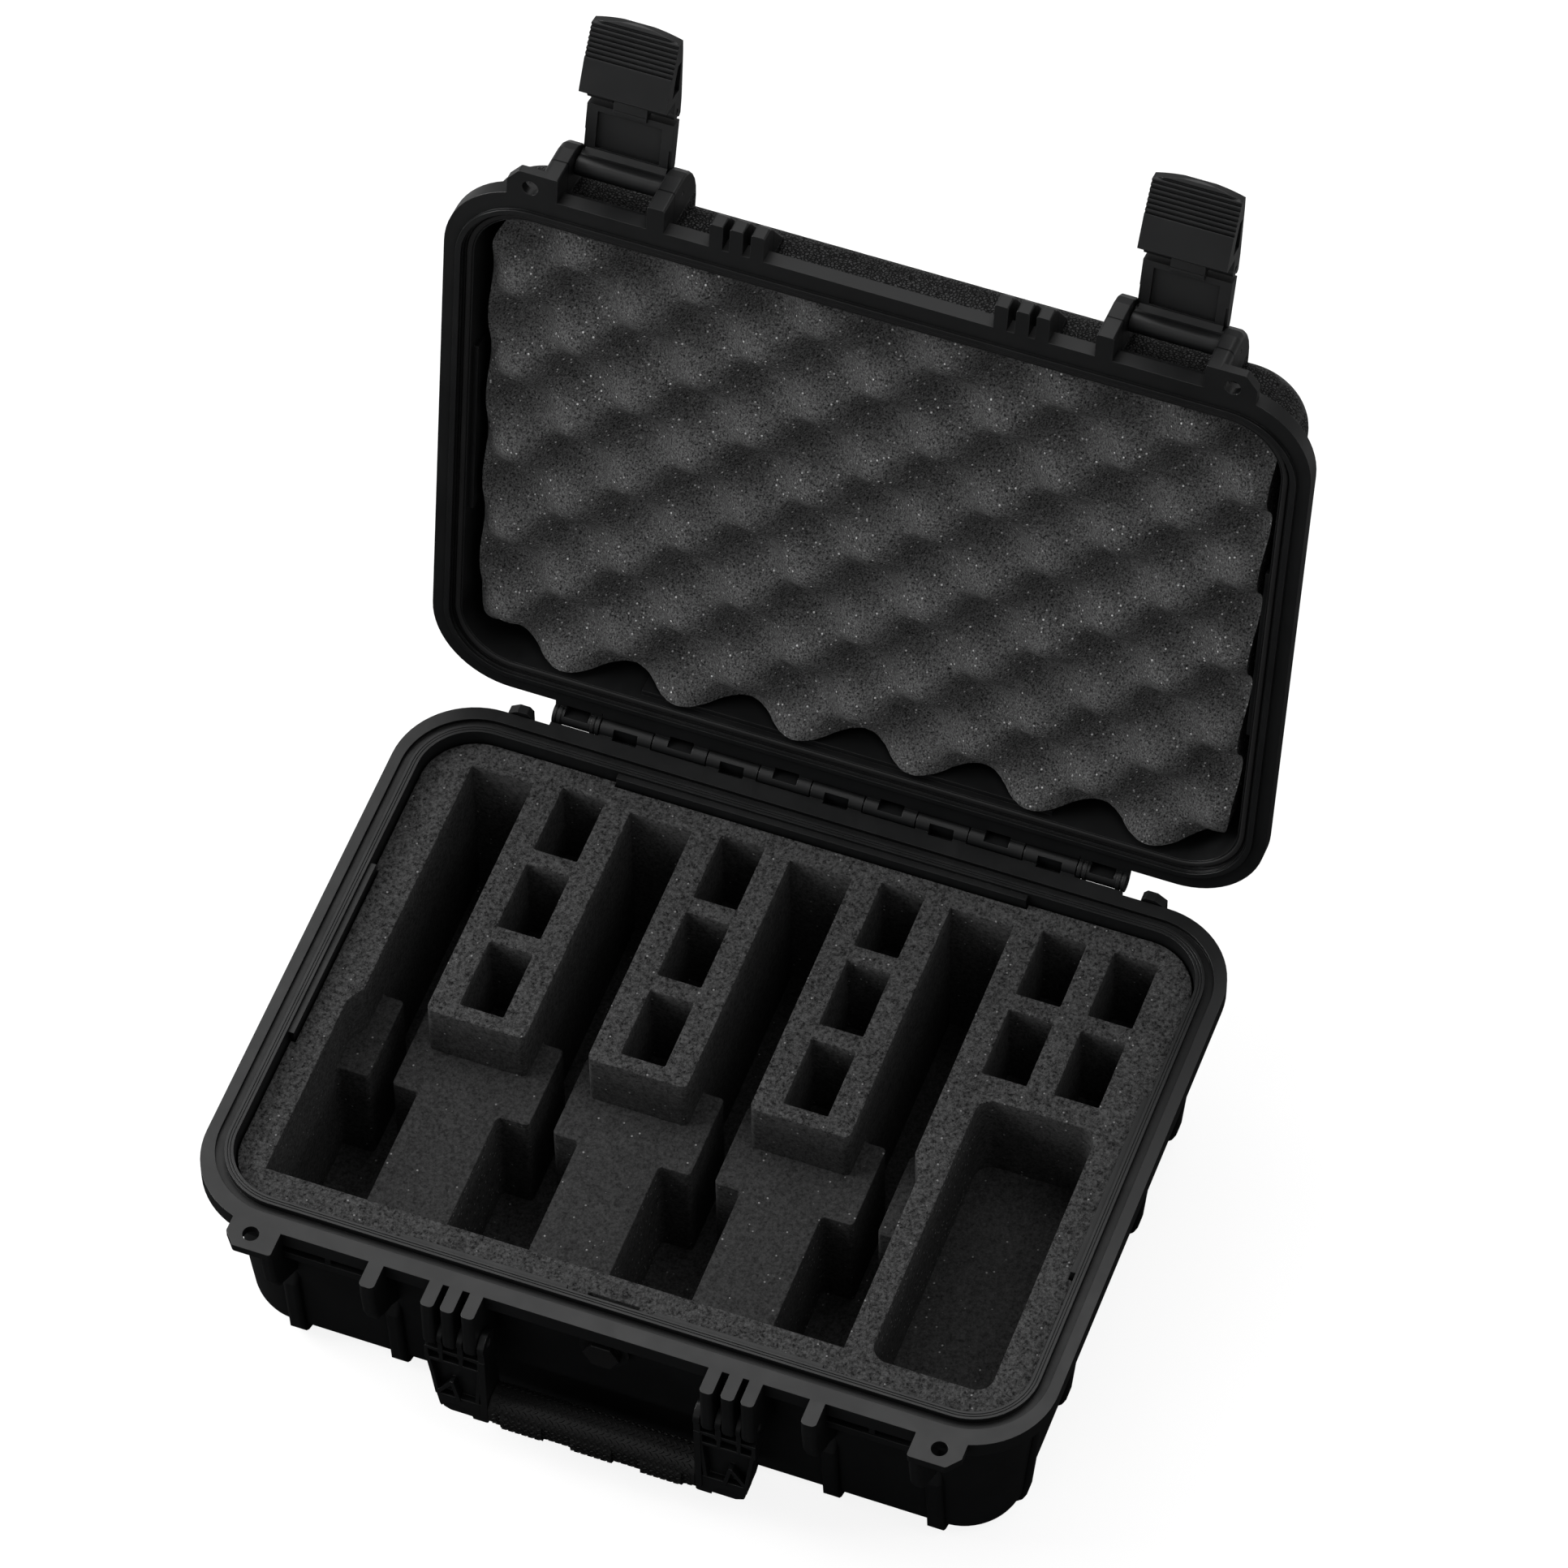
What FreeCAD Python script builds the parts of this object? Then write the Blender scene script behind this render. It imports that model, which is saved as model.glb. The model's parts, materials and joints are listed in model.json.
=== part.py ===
import FreeCAD, Part
import os, math

# Hard-shell carrying case with a cut-foam insert, lid standing open.
# Millimetres. +X to the right, +Z up, the hinge is on +Y (back), handle and latches on -Y (front).
# Origin: centre of the flat underside of the lower shell.
# Everything is drawn with z = 0 on the rim plane and then lifted by RIM_Z.
# The lid and all it carries are drawn closed and then swung open about the hinge.

Vector = FreeCAD.Vector
SIDES = (-1, 1)          # left, right


def centred(half_x, half_y, radius):
    """Outline of a rounded rectangle: x0, x1, y0, y1, corner radius."""
    return (-half_x, half_x, -half_y, half_y, radius)


# ---------------------------------------------------------------- driving dimensions
RIM_Z = 111.0            # rim plane above the underside
UNDER_Z = -RIM_Z
FLOOR_Z = -106.6
OPEN_ANGLE = 99.55       # lid angle from closed, degrees
SHUT_GAP = 0.4           # gap between the two flanges when shut
OVERLAP = 0.5            # how far joined parts run into each other
NEAR = 0.01              # tolerance when picking edges

FLANGE = (-205.2, 205.2, -154.3, 152.6, 40.5)
FLANGE_BACK = FLANGE[3]
FLANGE_T = 4.5           # flange plate thickness
SKIRT_T = 3.0            # flange skirt thickness
SKIRT_H = 9.0            # lower skirt depth below the rim plane
LID_SKIRT_H = 3.6        # lid skirt height above its flange plate

# Outlines of the lower shell
GROOVE = centred(199.8, 146.0, 36.0)     # rim groove, outer edge
RIDGE = centred(195.4, 141.8, 31.8)      # seal ridge, outer edge
MOUTH = centred(191.3, 137.8, 27.8)      # cavity at the rim
WALL = centred(195.4, 143.4, 33.5)       # outer wall under the flange
FOOT = centred(187.0, 135.6, 28.5)       # outer wall at the underside
CAVITY = centred(183.2, 132.8, 23.0)     # cavity at the floor
GROOVE_DEPTH = 2.2
RIDGE_H = 1.3
CAVITY_EDGE_R = 10.0
UNDERSIDE_EDGE_R = 14.0

# Outlines of the lid
LID_WALL = centred(195.6, 145.0, 33.0)     # wall above the flange
LID_TOP = centred(193.0, 142.0, 27.5)      # wall at the top
LID_CAVITY = centred(187.4, 135.4, 22.0)   # cavity at its ceiling
LID_H = 44.0                               # lid height above the rim plane
LID_CEILING = LID_H - 4.0
GASKET_CHANNEL = 4.0                       # channel depth

# Pads on the inner walls
PAD_HALF_X, PAD_HALF_Y = 101.5, 50.5       # half lengths along the walls
PAD_X, PAD_Y = 188.4, 134.7                # inner faces, lower shell
LID_PAD_X, LID_PAD_Y = 188.6, 134.9        # inner faces, lid
PAD_ROOT_X, PAD_ROOT_Y = 193.0, 139.0      # outer faces, inside the walls
HULL_INSET = 1.5                           # pads stay this far inside the outer wall

HINGE_Y, HINGE_Z = 160.3, 0.2
HINGE_PIN_R = 2.0
KNUCKLE_R = 4.7
KNUCKLE_X = [-142.4, -118.4, -92.2, -64.9, -39.2, -13.1,
             13.1, 39.2, 64.9, 92.2, 118.4, 142.4]
KNUCKLE_GAP = 0.35
HINGE_STRIP_Y = 150.0                      # front of the strips the knuckles stand on
HINGE_STRIP_BACK = HINGE_Y - KNUCKLE_R - 0.45

LATCH_X = 130.8                            # latch centre, each side
LATCH_W = 41.4                             # barrel, arm and lever width
LATCH_X0, LATCH_X1 = LATCH_X - LATCH_W / 2, LATCH_X + LATCH_W / 2
LATCH_WEB = (LATCH_X - 1.4, LATCH_X + 1.4)     # middle web behind the latch
LATCH_Y, LATCH_Z = -158.4, 24.4            # latch pivot on the closed lid
LATCH_PIN_R = 1.1
LATCH_THROW = 97.0                         # arm swing from shut to thrown open
LEVER_Y, LEVER_Z = -165.6, -12.6           # lever pivot with the latch shut
LEVER_PIN_R = 1.5
TONGUE_HALF = 8.0                          # half width of the arm tongue
TONGUE_ROOM = 8.4                          # half width of its slot in the lever
EAR_IN = (101.3, 109.6)
EAR_OUT = (152.0, 161.0)

RIB_X = [57.2, 67.2, 76.7]                 # three-rib group, each side
RIB_W = 6.4
RIB_TIP = -167.7
LONE_RIB = (102.2, 109.5)
TAB = (152.3, 176.2)                       # padlock tab
TAB_TIP = -167.2
TAB_ROOT = -140.0
PADLOCK_X, PADLOCK_Y, PADLOCK_R = 165.0, -158.8, 3.85

HANDLE_Y, HANDLE_Z, HANDLE_PIN_R = -160.0, -28.0, 2.5
CHEEK = (50.4, 53.6)                       # inner cheek of the handle
HANDLE_KNUCKLES = ((60.8, 63.6), (70.8, 73.1))
CORE = (-57.0, 57.0, -162.2, -152.6, -85.6, -74.0)    # handle core under the grip

VENT_Z = -27.4
VENT_BODY_R = 7.0
VENT_BORE_R = VENT_BODY_R + 0.05

# Spines on the shell walls
SPINE_SIDE_Y = (103.0, 48.0, -52.0, -106.0)
SPINE_END_X = (156.1, 105.8)
SPINE_HALF = 4.0

FOAM_GAP = 0.8
FOAM_TOP = -6.4
SHELF_Z = -37.9          # underside of the top foam layer
MID_Z = -60.4            # underside of the shelf layer
LOW_Z = -101.0           # underside of the lower layer
PAD_Z = FLOOR_Z + 0.3    # underside of the base pad
FOAM_OVERCUT = 0.5
SLOT_X0, SLOT_PITCH, SLOT_W = -169.2, 79.4, 30.9
SLOT_BACK = 122.6
SLOT_LAST = 3
TRAY_X0, TRAY_X1, TRAY_FRONT = -174.2, 105.5, -120.0
ISLAND_FRONT = -13.8
WIDE_POCKET = (117.6, 174.4, -120.9, 28.2, 8.5)
SMALL_X0, SMALL_W, SMALL_R = -124.7, 21.7, 0.8
SMALL_ROWS = ((87.5, 125.2), (40.9, 78.5), (-5.9, 31.8))   # y0, y1


# ---------------------------------------------------------------- outlines
def grown(outline, amount, keep_radius=False):
    x0, x1, y0, y1, radius = outline
    if not keep_radius:
        radius += amount
    return (x0 - amount, x1 + amount, y0 - amount, y1 + amount, radius)


def blend(outline0, z0, outline1, z1, z):
    """Outline at height z on the straight draft between two outlines."""
    t = (z0 - z) / (z0 - z1)
    return tuple(a + (b - a) * t for a, b in zip(outline0, outline1))


def wall_at(z):
    return blend(WALL, -SKIRT_H, FOOT, UNDER_Z, z)


def span(side, near, far):
    """Ordered x range for the part between near and far on one side."""
    return sorted((side * near, side * far))


# ---------------------------------------------------------------- solids
def rounded_wire(outline, z):
    x0, x1, y0, y1, r = outline
    near = r - math.sqrt(0.5) * r      # corner arc midpoint, in from the square corner
    edges = []

    def line(start, end):
        edges.append(Part.LineSegment(Vector(*start, z), Vector(*end, z)).toShape())

    def arc(start, middle, end):
        edges.append(Part.Arc(Vector(*start, z), Vector(*middle, z), Vector(*end, z)).toShape())

    line((x0 + r, y0), (x1 - r, y0))
    arc((x1 - r, y0), (x1 - near, y0 + near), (x1, y0 + r))
    line((x1, y0 + r), (x1, y1 - r))
    arc((x1, y1 - r), (x1 - near, y1 - near), (x1 - r, y1))
    line((x1 - r, y1), (x0 + r, y1))
    arc((x0 + r, y1), (x0 + near, y1 - near), (x0, y1 - r))
    line((x0, y1 - r), (x0, y0 + r))
    arc((x0, y0 + r), (x0 + near, y0 + near), (x0 + r, y0))
    return Part.Wire(edges)


def block(outline, z, height):
    return Part.Face(rounded_wire(outline, z)).extrude(Vector(0, 0, height))


def ring(outer, inner, z, height):
    return block(outer, z, height).cut(block(inner, z, height))


def drafted(outline0, z0, outline1, z1):
    return Part.makeLoft([rounded_wire(outline0, z0), rounded_wire(outline1, z1)], True, True)


def box(x0, x1, y0, y1, z0, z1):
    return Part.makeBox(x1 - x0, y1 - y0, z1 - z0, Vector(x0, y0, z0))


def extruded(points, direction):
    return Part.Face(Part.makePolygon(points + [points[0]])).extrude(direction)


def along_x(points, x0, x1):
    """Profile of (y, z) points run from x0 to x1."""
    return extruded([Vector(x0, y, z) for y, z in points], Vector(x1 - x0, 0, 0))


def along_y(points, y0, y1):
    """Profile of (x, z) points run from y0 to y1."""
    return extruded([Vector(x, y0, z) for x, z in points], Vector(0, y1 - y0, 0))


def along_z(points, z0, z1):
    """Profile of (x, y) points run from z0 to z1."""
    return extruded([Vector(x, y, z0) for x, y in points], Vector(0, 0, z1 - z0))


def rod_x(x0, x1, y, z, radius):
    return Part.makeCylinder(radius, x1 - x0, Vector(x0, y, z), Vector(1, 0, 0))


def rod_y(y0, y1, x, z, radius):
    return Part.makeCylinder(radius, y1 - y0, Vector(x, y0, z), Vector(0, 1, 0))


def rod_z(z0, z1, x, y, radius):
    return Part.makeCylinder(radius, z1 - z0, Vector(x, y, z0), Vector(0, 0, 1))


def mirrored(shape):
    return shape.mirror(Vector(0, 0, 0), Vector(1, 0, 0))


def both(shape):
    return [shape, mirrored(shape)]


def fuse(shapes):
    return shapes[0].multiFuse(shapes[1:]).removeSplitter()


def cut_all(shape, tools):
    return shape.cut(Part.makeCompound(tools))


def soften(shape, radius, pick):
    """Fillet the edges whose bounding box pick() accepts."""
    edges = [edge for edge in shape.Edges if pick(edge.BoundBox)]
    for scale in (1.0, 0.7, 0.45):
        # A radius the kernel refuses is retried smaller; if none goes, the edges stay sharp.
        try:
            result = shape.makeFillet(radius * scale, edges)
            if result.isValid() and len(result.Solids) == 1:
                return result
        except Exception:
            pass
    return shape


def largest(shape):
    return max(shape.Solids, key=lambda solid: solid.Volume)


# ---------------------------------------------------------------- shared by both shells
def flange(plate_z, skirt_z, skirt_height):
    """Flange plate, its padlock tabs and its skirt."""
    tab = along_z([(TAB[0], TAB_ROOT), (TAB[0], TAB_TIP), (TAB[1] - 5.5, TAB_TIP),
                   (TAB[1], TAB_TIP + 6.5), (TAB[1], TAB_ROOT)], plate_z, plate_z + FLANGE_T)
    tab = soften(tab, 1.6, lambda ext: abs(ext.ZLength - FLANGE_T) < 1e-6
                 and ext.YMax < TAB_TIP + 1)
    skirt = ring(FLANGE, grown(FLANGE, -SKIRT_T), skirt_z, skirt_height)
    return [block(FLANGE, plate_z, FLANGE_T)] + both(tab) + [skirt]


def knuckles(first, face_z, root_z, shoulder_z, nose_z):
    """Every second hinge knuckle, each with the lug that ties it to its flange."""
    lug = [(FLANGE_BACK - 4.0, root_z), (FLANGE_BACK, root_z), (HINGE_Y + 2.6, shoulder_z),
           (HINGE_Y + KNUCKLE_R - 0.1, nose_z), (HINGE_Y, face_z), (FLANGE_BACK - 4.0, face_z)]
    solids = []
    for i in range(first, 11, 2):
        x0, x1 = KNUCKLE_X[i] + KNUCKLE_GAP, KNUCKLE_X[i + 1] - KNUCKLE_GAP
        solids.append(rod_x(x0, x1, HINGE_Y, HINGE_Z, KNUCKLE_R))
        solids.append(along_x(lug, x0, x1))
    return solids


def hinge_cuts(first, z0, z1):
    """Hinge pin bore, and a window beside every second knuckle on its front side."""
    cuts = [rod_x(KNUCKLE_X[0] - 2, KNUCKLE_X[-1] + 2, HINGE_Y, HINGE_Z, HINGE_PIN_R + 0.05)]
    for i in range(first, 11, 2):
        middle = (KNUCKLE_X[i] + KNUCKLE_X[i + 1]) / 2
        cuts.append(box(middle - 6.0, middle + 6.0, HINGE_Y - 6.2, HINGE_Y - 2.6, z0, z1))
    return cuts


# ---------------------------------------------------------------- lower shell
def spine_profile(depth, top, inner):
    """(offset from the wall, z) points of a spine that turns under as a foot."""
    foot = [(0.0, 14.0), (0.5, 9.6), (2.0, 5.8), (4.6, 2.7), (8.0, 0.9), (12.0, 0.0)]
    return ([(2.0, top), (-depth, top - 14.0)]
            + [(-depth + inward, UNDER_Z + up) for inward, up in foot]
            + [(inner, UNDER_Z), (inner, top)])


def base_spines():
    spines = []
    for xc in SPINE_END_X:
        points = [(wall_at(z)[2] + offset, z) for offset, z in spine_profile(3.8, -46.0, 14.0)]
        front = along_x(points, xc - SPINE_HALF, xc + SPINE_HALF)
        front = soften(front, 2.6, lambda ext: ext.XLength < NEAR and ext.YMax < -136.0
                       and ext.ZLength > 8)
        spines += both(front)
        spines += both(front.mirror(Vector(0, 0, 0), Vector(0, 1, 0)))
    for yc in SPINE_SIDE_Y:
        points = [(wall_at(z)[0] + offset, z) for offset, z in spine_profile(2.6, -22.0, 14.0)]
        left = along_y(points, yc - SPINE_HALF, yc + SPINE_HALF)
        left = soften(left, 2.6, lambda ext: ext.YLength < NEAR and ext.XMax < -188.0
                      and ext.ZLength > 8)
        spines += both(left)
    return spines


def base_latch_mounts():
    """Lone rib, cheek under the padlock tab, and the catch bar between them, each side."""
    low = -36.0
    rib = along_x([(-141.0, 0.0), (RIB_TIP, 0.0), (RIB_TIP, -9.0), (RIB_TIP + 1.6, low + 12.0),
                   (RIB_TIP + 5.0, low + 3.0), (RIB_TIP + 9.0, low), (-150.0, low - 3.0),
                   (-140.8, low - 11.0)], *LONE_RIB)
    cheek = along_x([(-141.0, -4.0), (-165.6, -4.0), (-165.6, -12.0), (-163.6, -28.0),
                     (-159.5, -37.0), (-154.0, -41.0), (-148.0, -44.0), (-140.8, -50.0)],
                    TAB[0], TAB[0] + 6.4)
    solids = []
    for solid, radius in ((rib, 2.4), (cheek, 2.2)):
        solid = soften(solid, radius, lambda ext: ext.XLength < NEAR and ext.YMax < -150.0)
        solids += both(solid)
    bar_x = (LONE_RIB[1] - OVERLAP, TAB[0] + OVERLAP)
    bar_low = -19.9
    solids += both(box(*bar_x, -153.6, -147.2, bar_low, -15.4))
    solids += both(box(*bar_x, -149.2, -147.2, bar_low, -4.0))
    solids += both(box(*LATCH_WEB, -152.6, -141.0, -19.0, -3.0))
    solids += both(box(*bar_x, -148.0, -141.0, bar_low, -17.0))
    return solids


def base_handle_mounts():
    """Three-rib group with handle lugs below, each side."""
    radius = 2.2
    solids = []
    for xc in RIB_X:
        x0, x1 = xc - RIB_W / 2, xc + RIB_W / 2
        column = soften(box(x0, x1, RIB_TIP, -141.0, HANDLE_Z, 0.0), radius,
                        lambda ext: ext.ZLength > 10.0 and ext.YMax < RIB_TIP + 0.1)
        lug = soften(rod_x(x0, x1, HANDLE_Y, HANDLE_Z, HANDLE_Y - RIB_TIP), radius,
                     lambda ext: ext.XLength < NEAR)
        web = along_x([(HANDLE_Y + 2.0, HANDLE_Z + 1.0), (HANDLE_Y + 2.0, HANDLE_Z - 7.0),
                       (-152.0, HANDLE_Z - 8.6), (-141.0, HANDLE_Z - 17.0),
                       (-141.0, HANDLE_Z + 1.0)], x0, x1)
        solids += both(fuse([column, lug, web]))
    return solids


def base_hinge():
    strip_end = HINGE_Y - KNUCKLE_R - 0.95
    solids = knuckles(first=1, face_z=0.0, root_z=-SKIRT_H, shoulder_z=-4.0, nose_z=-0.3)
    solids.append(box(KNUCKLE_X[1], KNUCKLE_X[-2], HINGE_STRIP_Y, HINGE_STRIP_BACK,
                      -SKIRT_H, 0.0))
    solids += both(box(KNUCKLE_X[0] + KNUCKLE_GAP, KNUCKLE_X[1] + 1.0, HINGE_STRIP_Y, strip_end,
                       -SKIRT_H, 0.0))
    return solids


def lid_stops():
    x0, x1 = 151.4, 163.0
    stop = along_y([(x0, -SKIRT_H), (x1, -SKIRT_H), (x1, -1.0), (158.2, 2.4), (153.4, 2.4),
                    (x0, 0.0)], FLANGE_BACK + 0.35, 157.6)
    root = box(x0, x1, 149.0, FLANGE_BACK + 1.0, -SKIRT_H, -1.0)
    stop = stop.fuse(root).removeSplitter()
    stop = soften(stop, 0.7, lambda ext: ext.YLength > 3.0 and ext.ZMin > 1.0)
    return both(stop)


def cut_rim(shell):
    """Groove outside the seal ridge, and two fine lines along the ridge top."""
    shell = shell.cut(ring(GROOVE, RIDGE, -GROOVE_DEPTH, GROOVE_DEPTH + 1.0))
    line_size = 0.35
    for inset in (1.25, 2.5):
        shell = shell.cut(ring(grown(RIDGE, -inset), grown(RIDGE, -inset - line_size),
                               RIDGE_H - line_size, 1.0))
    return shell


def base_pads():
    z0, z1 = -100.0, -0.6
    vent_clear = 21.0          # half width of the gap left around the valve
    pads = []
    for side in SIDES:
        pads.append(box(*span(side, PAD_X, PAD_ROOT_X), -PAD_HALF_Y, PAD_HALF_Y, z0, z1))
    pads.append(box(-PAD_HALF_X, PAD_HALF_X, PAD_Y, PAD_ROOT_Y, z0, z1))
    for side in SIDES:
        pads.append(box(*span(side, vent_clear, PAD_HALF_X), -PAD_ROOT_Y, -PAD_Y, z0, z1))
    hull = drafted(grown(WALL, -HULL_INSET), 0.0, grown(FOOT, -HULL_INSET), UNDER_Z + 2)
    return [pad.common(hull) for pad in pads]


def make_base():
    outer = drafted(WALL, -SKIRT_H, FOOT, UNDER_Z)
    outer = soften(outer, UNDERSIDE_EDGE_R, lambda ext: ext.ZMax < UNDER_Z + NEAR)
    body = [outer, block(WALL, -SKIRT_H, SKIRT_H)]
    body += flange(-FLANGE_T, -SKIRT_H, SKIRT_H - FLANGE_T)
    body += base_spines()
    # seal ridge, drawn tall enough to bury in the flange
    body.append(ring(RIDGE, grown(MOUTH, -1.0), -2.0, 2.0 + RIDGE_H))
    body += base_latch_mounts()
    body += base_handle_mounts()
    # boss for the pressure valve
    body.append(rod_y(-145.8, -139.0, 0.0, VENT_Z, 12.0))
    body += base_hinge()
    body += lid_stops()
    shell = fuse(body)

    cavity = drafted(MOUTH, RIDGE_H + NEAR, CAVITY, FLOOR_Z)
    cavity = soften(cavity, CAVITY_EDGE_R, lambda ext: ext.ZMax < FLOOR_Z + NEAR)
    shell = cut_rim(shell.cut(cavity))

    cuts = hinge_cuts(first=1, z0=-4.4, z1=6.0)
    for side in SIDES:
        cuts.append(rod_z(-10.0, 1.0, side * PADLOCK_X, PADLOCK_Y, PADLOCK_R))
    for side in SIDES:
        cuts.append(rod_x(*span(side, 40.0, 90.0), HANDLE_Y, HANDLE_Z, HANDLE_PIN_R + 0.03))
    # valve bore, with a recess for the nut
    cuts.append(rod_y(-150.0, -128.0, 0.0, VENT_Z, VENT_BORE_R))
    cuts.append(rod_y(-136.0, -128.0, 0.0, VENT_Z, 11.4))
    shell = cut_all(shell, cuts)
    return largest(fuse([shell] + base_pads()))


# ---------------------------------------------------------------- upper shell, drawn shut
def latch_ear(away_x, latch_x, away_radius, top):
    """Ear beside a latch; away_x is its face turned away from the latch."""
    scale = top / LID_H
    ear = along_x([(-143.0, SHUT_GAP), (-167.2, SHUT_GAP), (-167.5, 12.0), (-167.5, 24.0 * scale),
                   (-166.4, 29.5 * scale), (-163.6, 34.4 * scale), (-159.4, 38.2 * scale),
                   (-154.6, 41.2 * scale), (-149.0, 43.2 * scale), (-143.0, top),
                   (-130.0, min(top, 43.8)), (-130.0, 24.0)], *sorted((away_x, latch_x)))
    for face_x, radius in ((away_x, away_radius), (latch_x, 0.9)):
        ear = soften(ear, radius, lambda ext: ext.XLength < NEAR and abs(ext.XMin - face_x) < NEAR
                     and ((ext.YMax < -142.9 and ext.ZMax > SHUT_GAP + 5.0)
                          or (ext.ZMin > 30.0 and ext.YMin < -130.1)))
    return ear


def lid_latch_mounts():
    """Ears with a web and a cross bar between them, each side."""
    solids = both(latch_ear(EAR_IN[0], EAR_IN[1], 1.2, LID_H))
    solids += both(latch_ear(EAR_OUT[1], EAR_OUT[0], 3.2, 42.2))
    solids += both(box(*LATCH_WEB, -153.0, -143.0, SHUT_GAP + 2.0, 10.6))
    solids += both(box(EAR_IN[1] - OVERLAP, EAR_OUT[0] + OVERLAP, -149.4, -143.0, 12.4, 15.0))
    return solids


def lid_ribs():
    """Three-rib gussets, each side."""
    solids = []
    for xc in RIB_X:
        rib = along_x([(-143.0, SHUT_GAP), (RIB_TIP, SHUT_GAP), (RIB_TIP, 8.0),
                       (RIB_TIP + 3.0, 12.0), (-149.0, 26.0), (-146.6, 28.5), (-143.0, 28.5)],
                      xc - RIB_W / 2, xc + RIB_W / 2)
        rib = soften(rib, 1.0, lambda ext: ext.XLength < NEAR and ext.YMax < -146.5)
        solids += both(rib)
    return solids


def lid_hinge():
    root_z = SHUT_GAP + 9.0
    solids = knuckles(first=0, face_z=SHUT_GAP, root_z=root_z, shoulder_z=4.6, nose_z=0.9)
    solids.append(box(KNUCKLE_X[1], KNUCKLE_X[-2], HINGE_STRIP_Y, HINGE_STRIP_BACK,
                      SHUT_GAP, root_z))
    # raised collars on the end knuckles
    for x in (KNUCKLE_X[0] + KNUCKLE_GAP, KNUCKLE_X[0] + 2.9,
              KNUCKLE_X[1] - 2.0, KNUCKLE_X[1] - 4.6):
        solids += both(rod_x(x, x + 1.6, HINGE_Y, HINGE_Z, KNUCKLE_R + 0.45))
    return solids


def lid_top_bands():
    z, height = LID_H - 1.0, 2.2
    frame = centred(168.0, 112.0, 22.0)
    bands = [ring(frame, grown(frame, -8.0), z, height)]
    for yc in (-52.0, 0.0, 52.0):
        bands.append(block((-140.0, 140.0, yc - 8.0, yc + 8.0, 7.0), z, height))
    return bands


def lid_spines():
    """Spines on the lid sides and back."""
    radius = 2.2
    solids = []
    for yc in SPINE_SIDE_Y:
        spine = along_y([(-190.0, 8.0), (-197.8, 8.0), (-197.0, 26.0), (-194.2, 32.0),
                         (-190.0, 34.0)], yc - SPINE_HALF, yc + SPINE_HALF)
        spine = soften(spine, radius, lambda ext: ext.YLength < NEAR and ext.XMax < -193.5)
        solids += both(spine)
    for xc in SPINE_END_X:
        spine = along_x([(138.0, 8.0), (148.0, 8.0), (147.4, 26.0), (144.4, 32.0),
                         (138.0, 34.0)], xc - SPINE_HALF, xc + SPINE_HALF)
        spine = soften(spine, radius, lambda ext: ext.XLength < NEAR and ext.YMin > 143.5)
        solids += both(spine)
    return solids


def lid_pads():
    z0, z1 = 5.4, 30.0
    pads = []
    for side in SIDES:
        pads.append(box(*span(side, LID_PAD_X, PAD_ROOT_X), -PAD_HALF_Y, PAD_HALF_Y, z0, z1))
        pads.append(box(-PAD_HALF_X, PAD_HALF_X, *span(side, LID_PAD_Y, PAD_ROOT_Y), z0, z1))
    hull = drafted(grown(LID_WALL, -HULL_INSET), SHUT_GAP, grown(LID_TOP, -HULL_INSET), LID_H - 2)
    return [pad.common(hull) for pad in pads]


def make_lid():
    body = flange(SHUT_GAP, SHUT_GAP + FLANGE_T, LID_SKIRT_H)
    outer = drafted(LID_WALL, SHUT_GAP, LID_TOP, LID_H)
    body.append(soften(outer, 13.5, lambda ext: ext.ZMin > LID_H - NEAR))
    # shoulder step around the wall, just above the flange
    body.append(block(centred(200.0, 147.0, 36.0), SHUT_GAP, 13.0))
    body += lid_latch_mounts() + lid_ribs() + lid_hinge() + lid_top_bands() + lid_spines()
    shell = fuse(body)

    cavity = drafted(MOUTH, SHUT_GAP - NEAR, LID_CAVITY, LID_CEILING)
    shell = shell.cut(soften(cavity, 9.0, lambda ext: ext.ZMin > LID_CEILING - NEAR))
    # relief that takes the seal ridge, and the gasket channel above it
    shell = shell.cut(ring(grown(RIDGE, 0.4), grown(MOUTH, -0.5), SHUT_GAP - 0.1, RIDGE_H + 0.5))
    shell = shell.cut(ring(grown(RIDGE, -0.5), grown(RIDGE, -3.6), SHUT_GAP, GASKET_CHANNEL))
    cuts = hinge_cuts(first=0, z0=-6.0, z1=4.8)
    for side in SIDES:
        cuts.append(rod_z(SHUT_GAP - 1.0, SHUT_GAP + 20.0, side * PADLOCK_X, PADLOCK_Y, PADLOCK_R))
        cuts.append(rod_x(*span(side, 90.0, 170.0), LATCH_Y, LATCH_Z, LATCH_PIN_R + 0.03))
    shell = cut_all(shell, cuts)
    # tongue that drops into the rim groove
    drop = 1.2
    tongue = ring(grown(GROOVE, -0.7), grown(RIDGE, 1.1), -drop, drop + SHUT_GAP + 1.0)
    return largest(fuse([shell, tongue] + lid_pads()))


def make_gasket():
    z0 = RIDGE_H + 0.25
    height = SHUT_GAP + GASKET_CHANNEL - z0 - 0.05
    gasket = ring(grown(RIDGE, -0.6), grown(RIDGE, -3.5), z0, height)
    return largest(soften(gasket, 1.0, lambda ext: ext.ZMax < z0 + NEAR))


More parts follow.
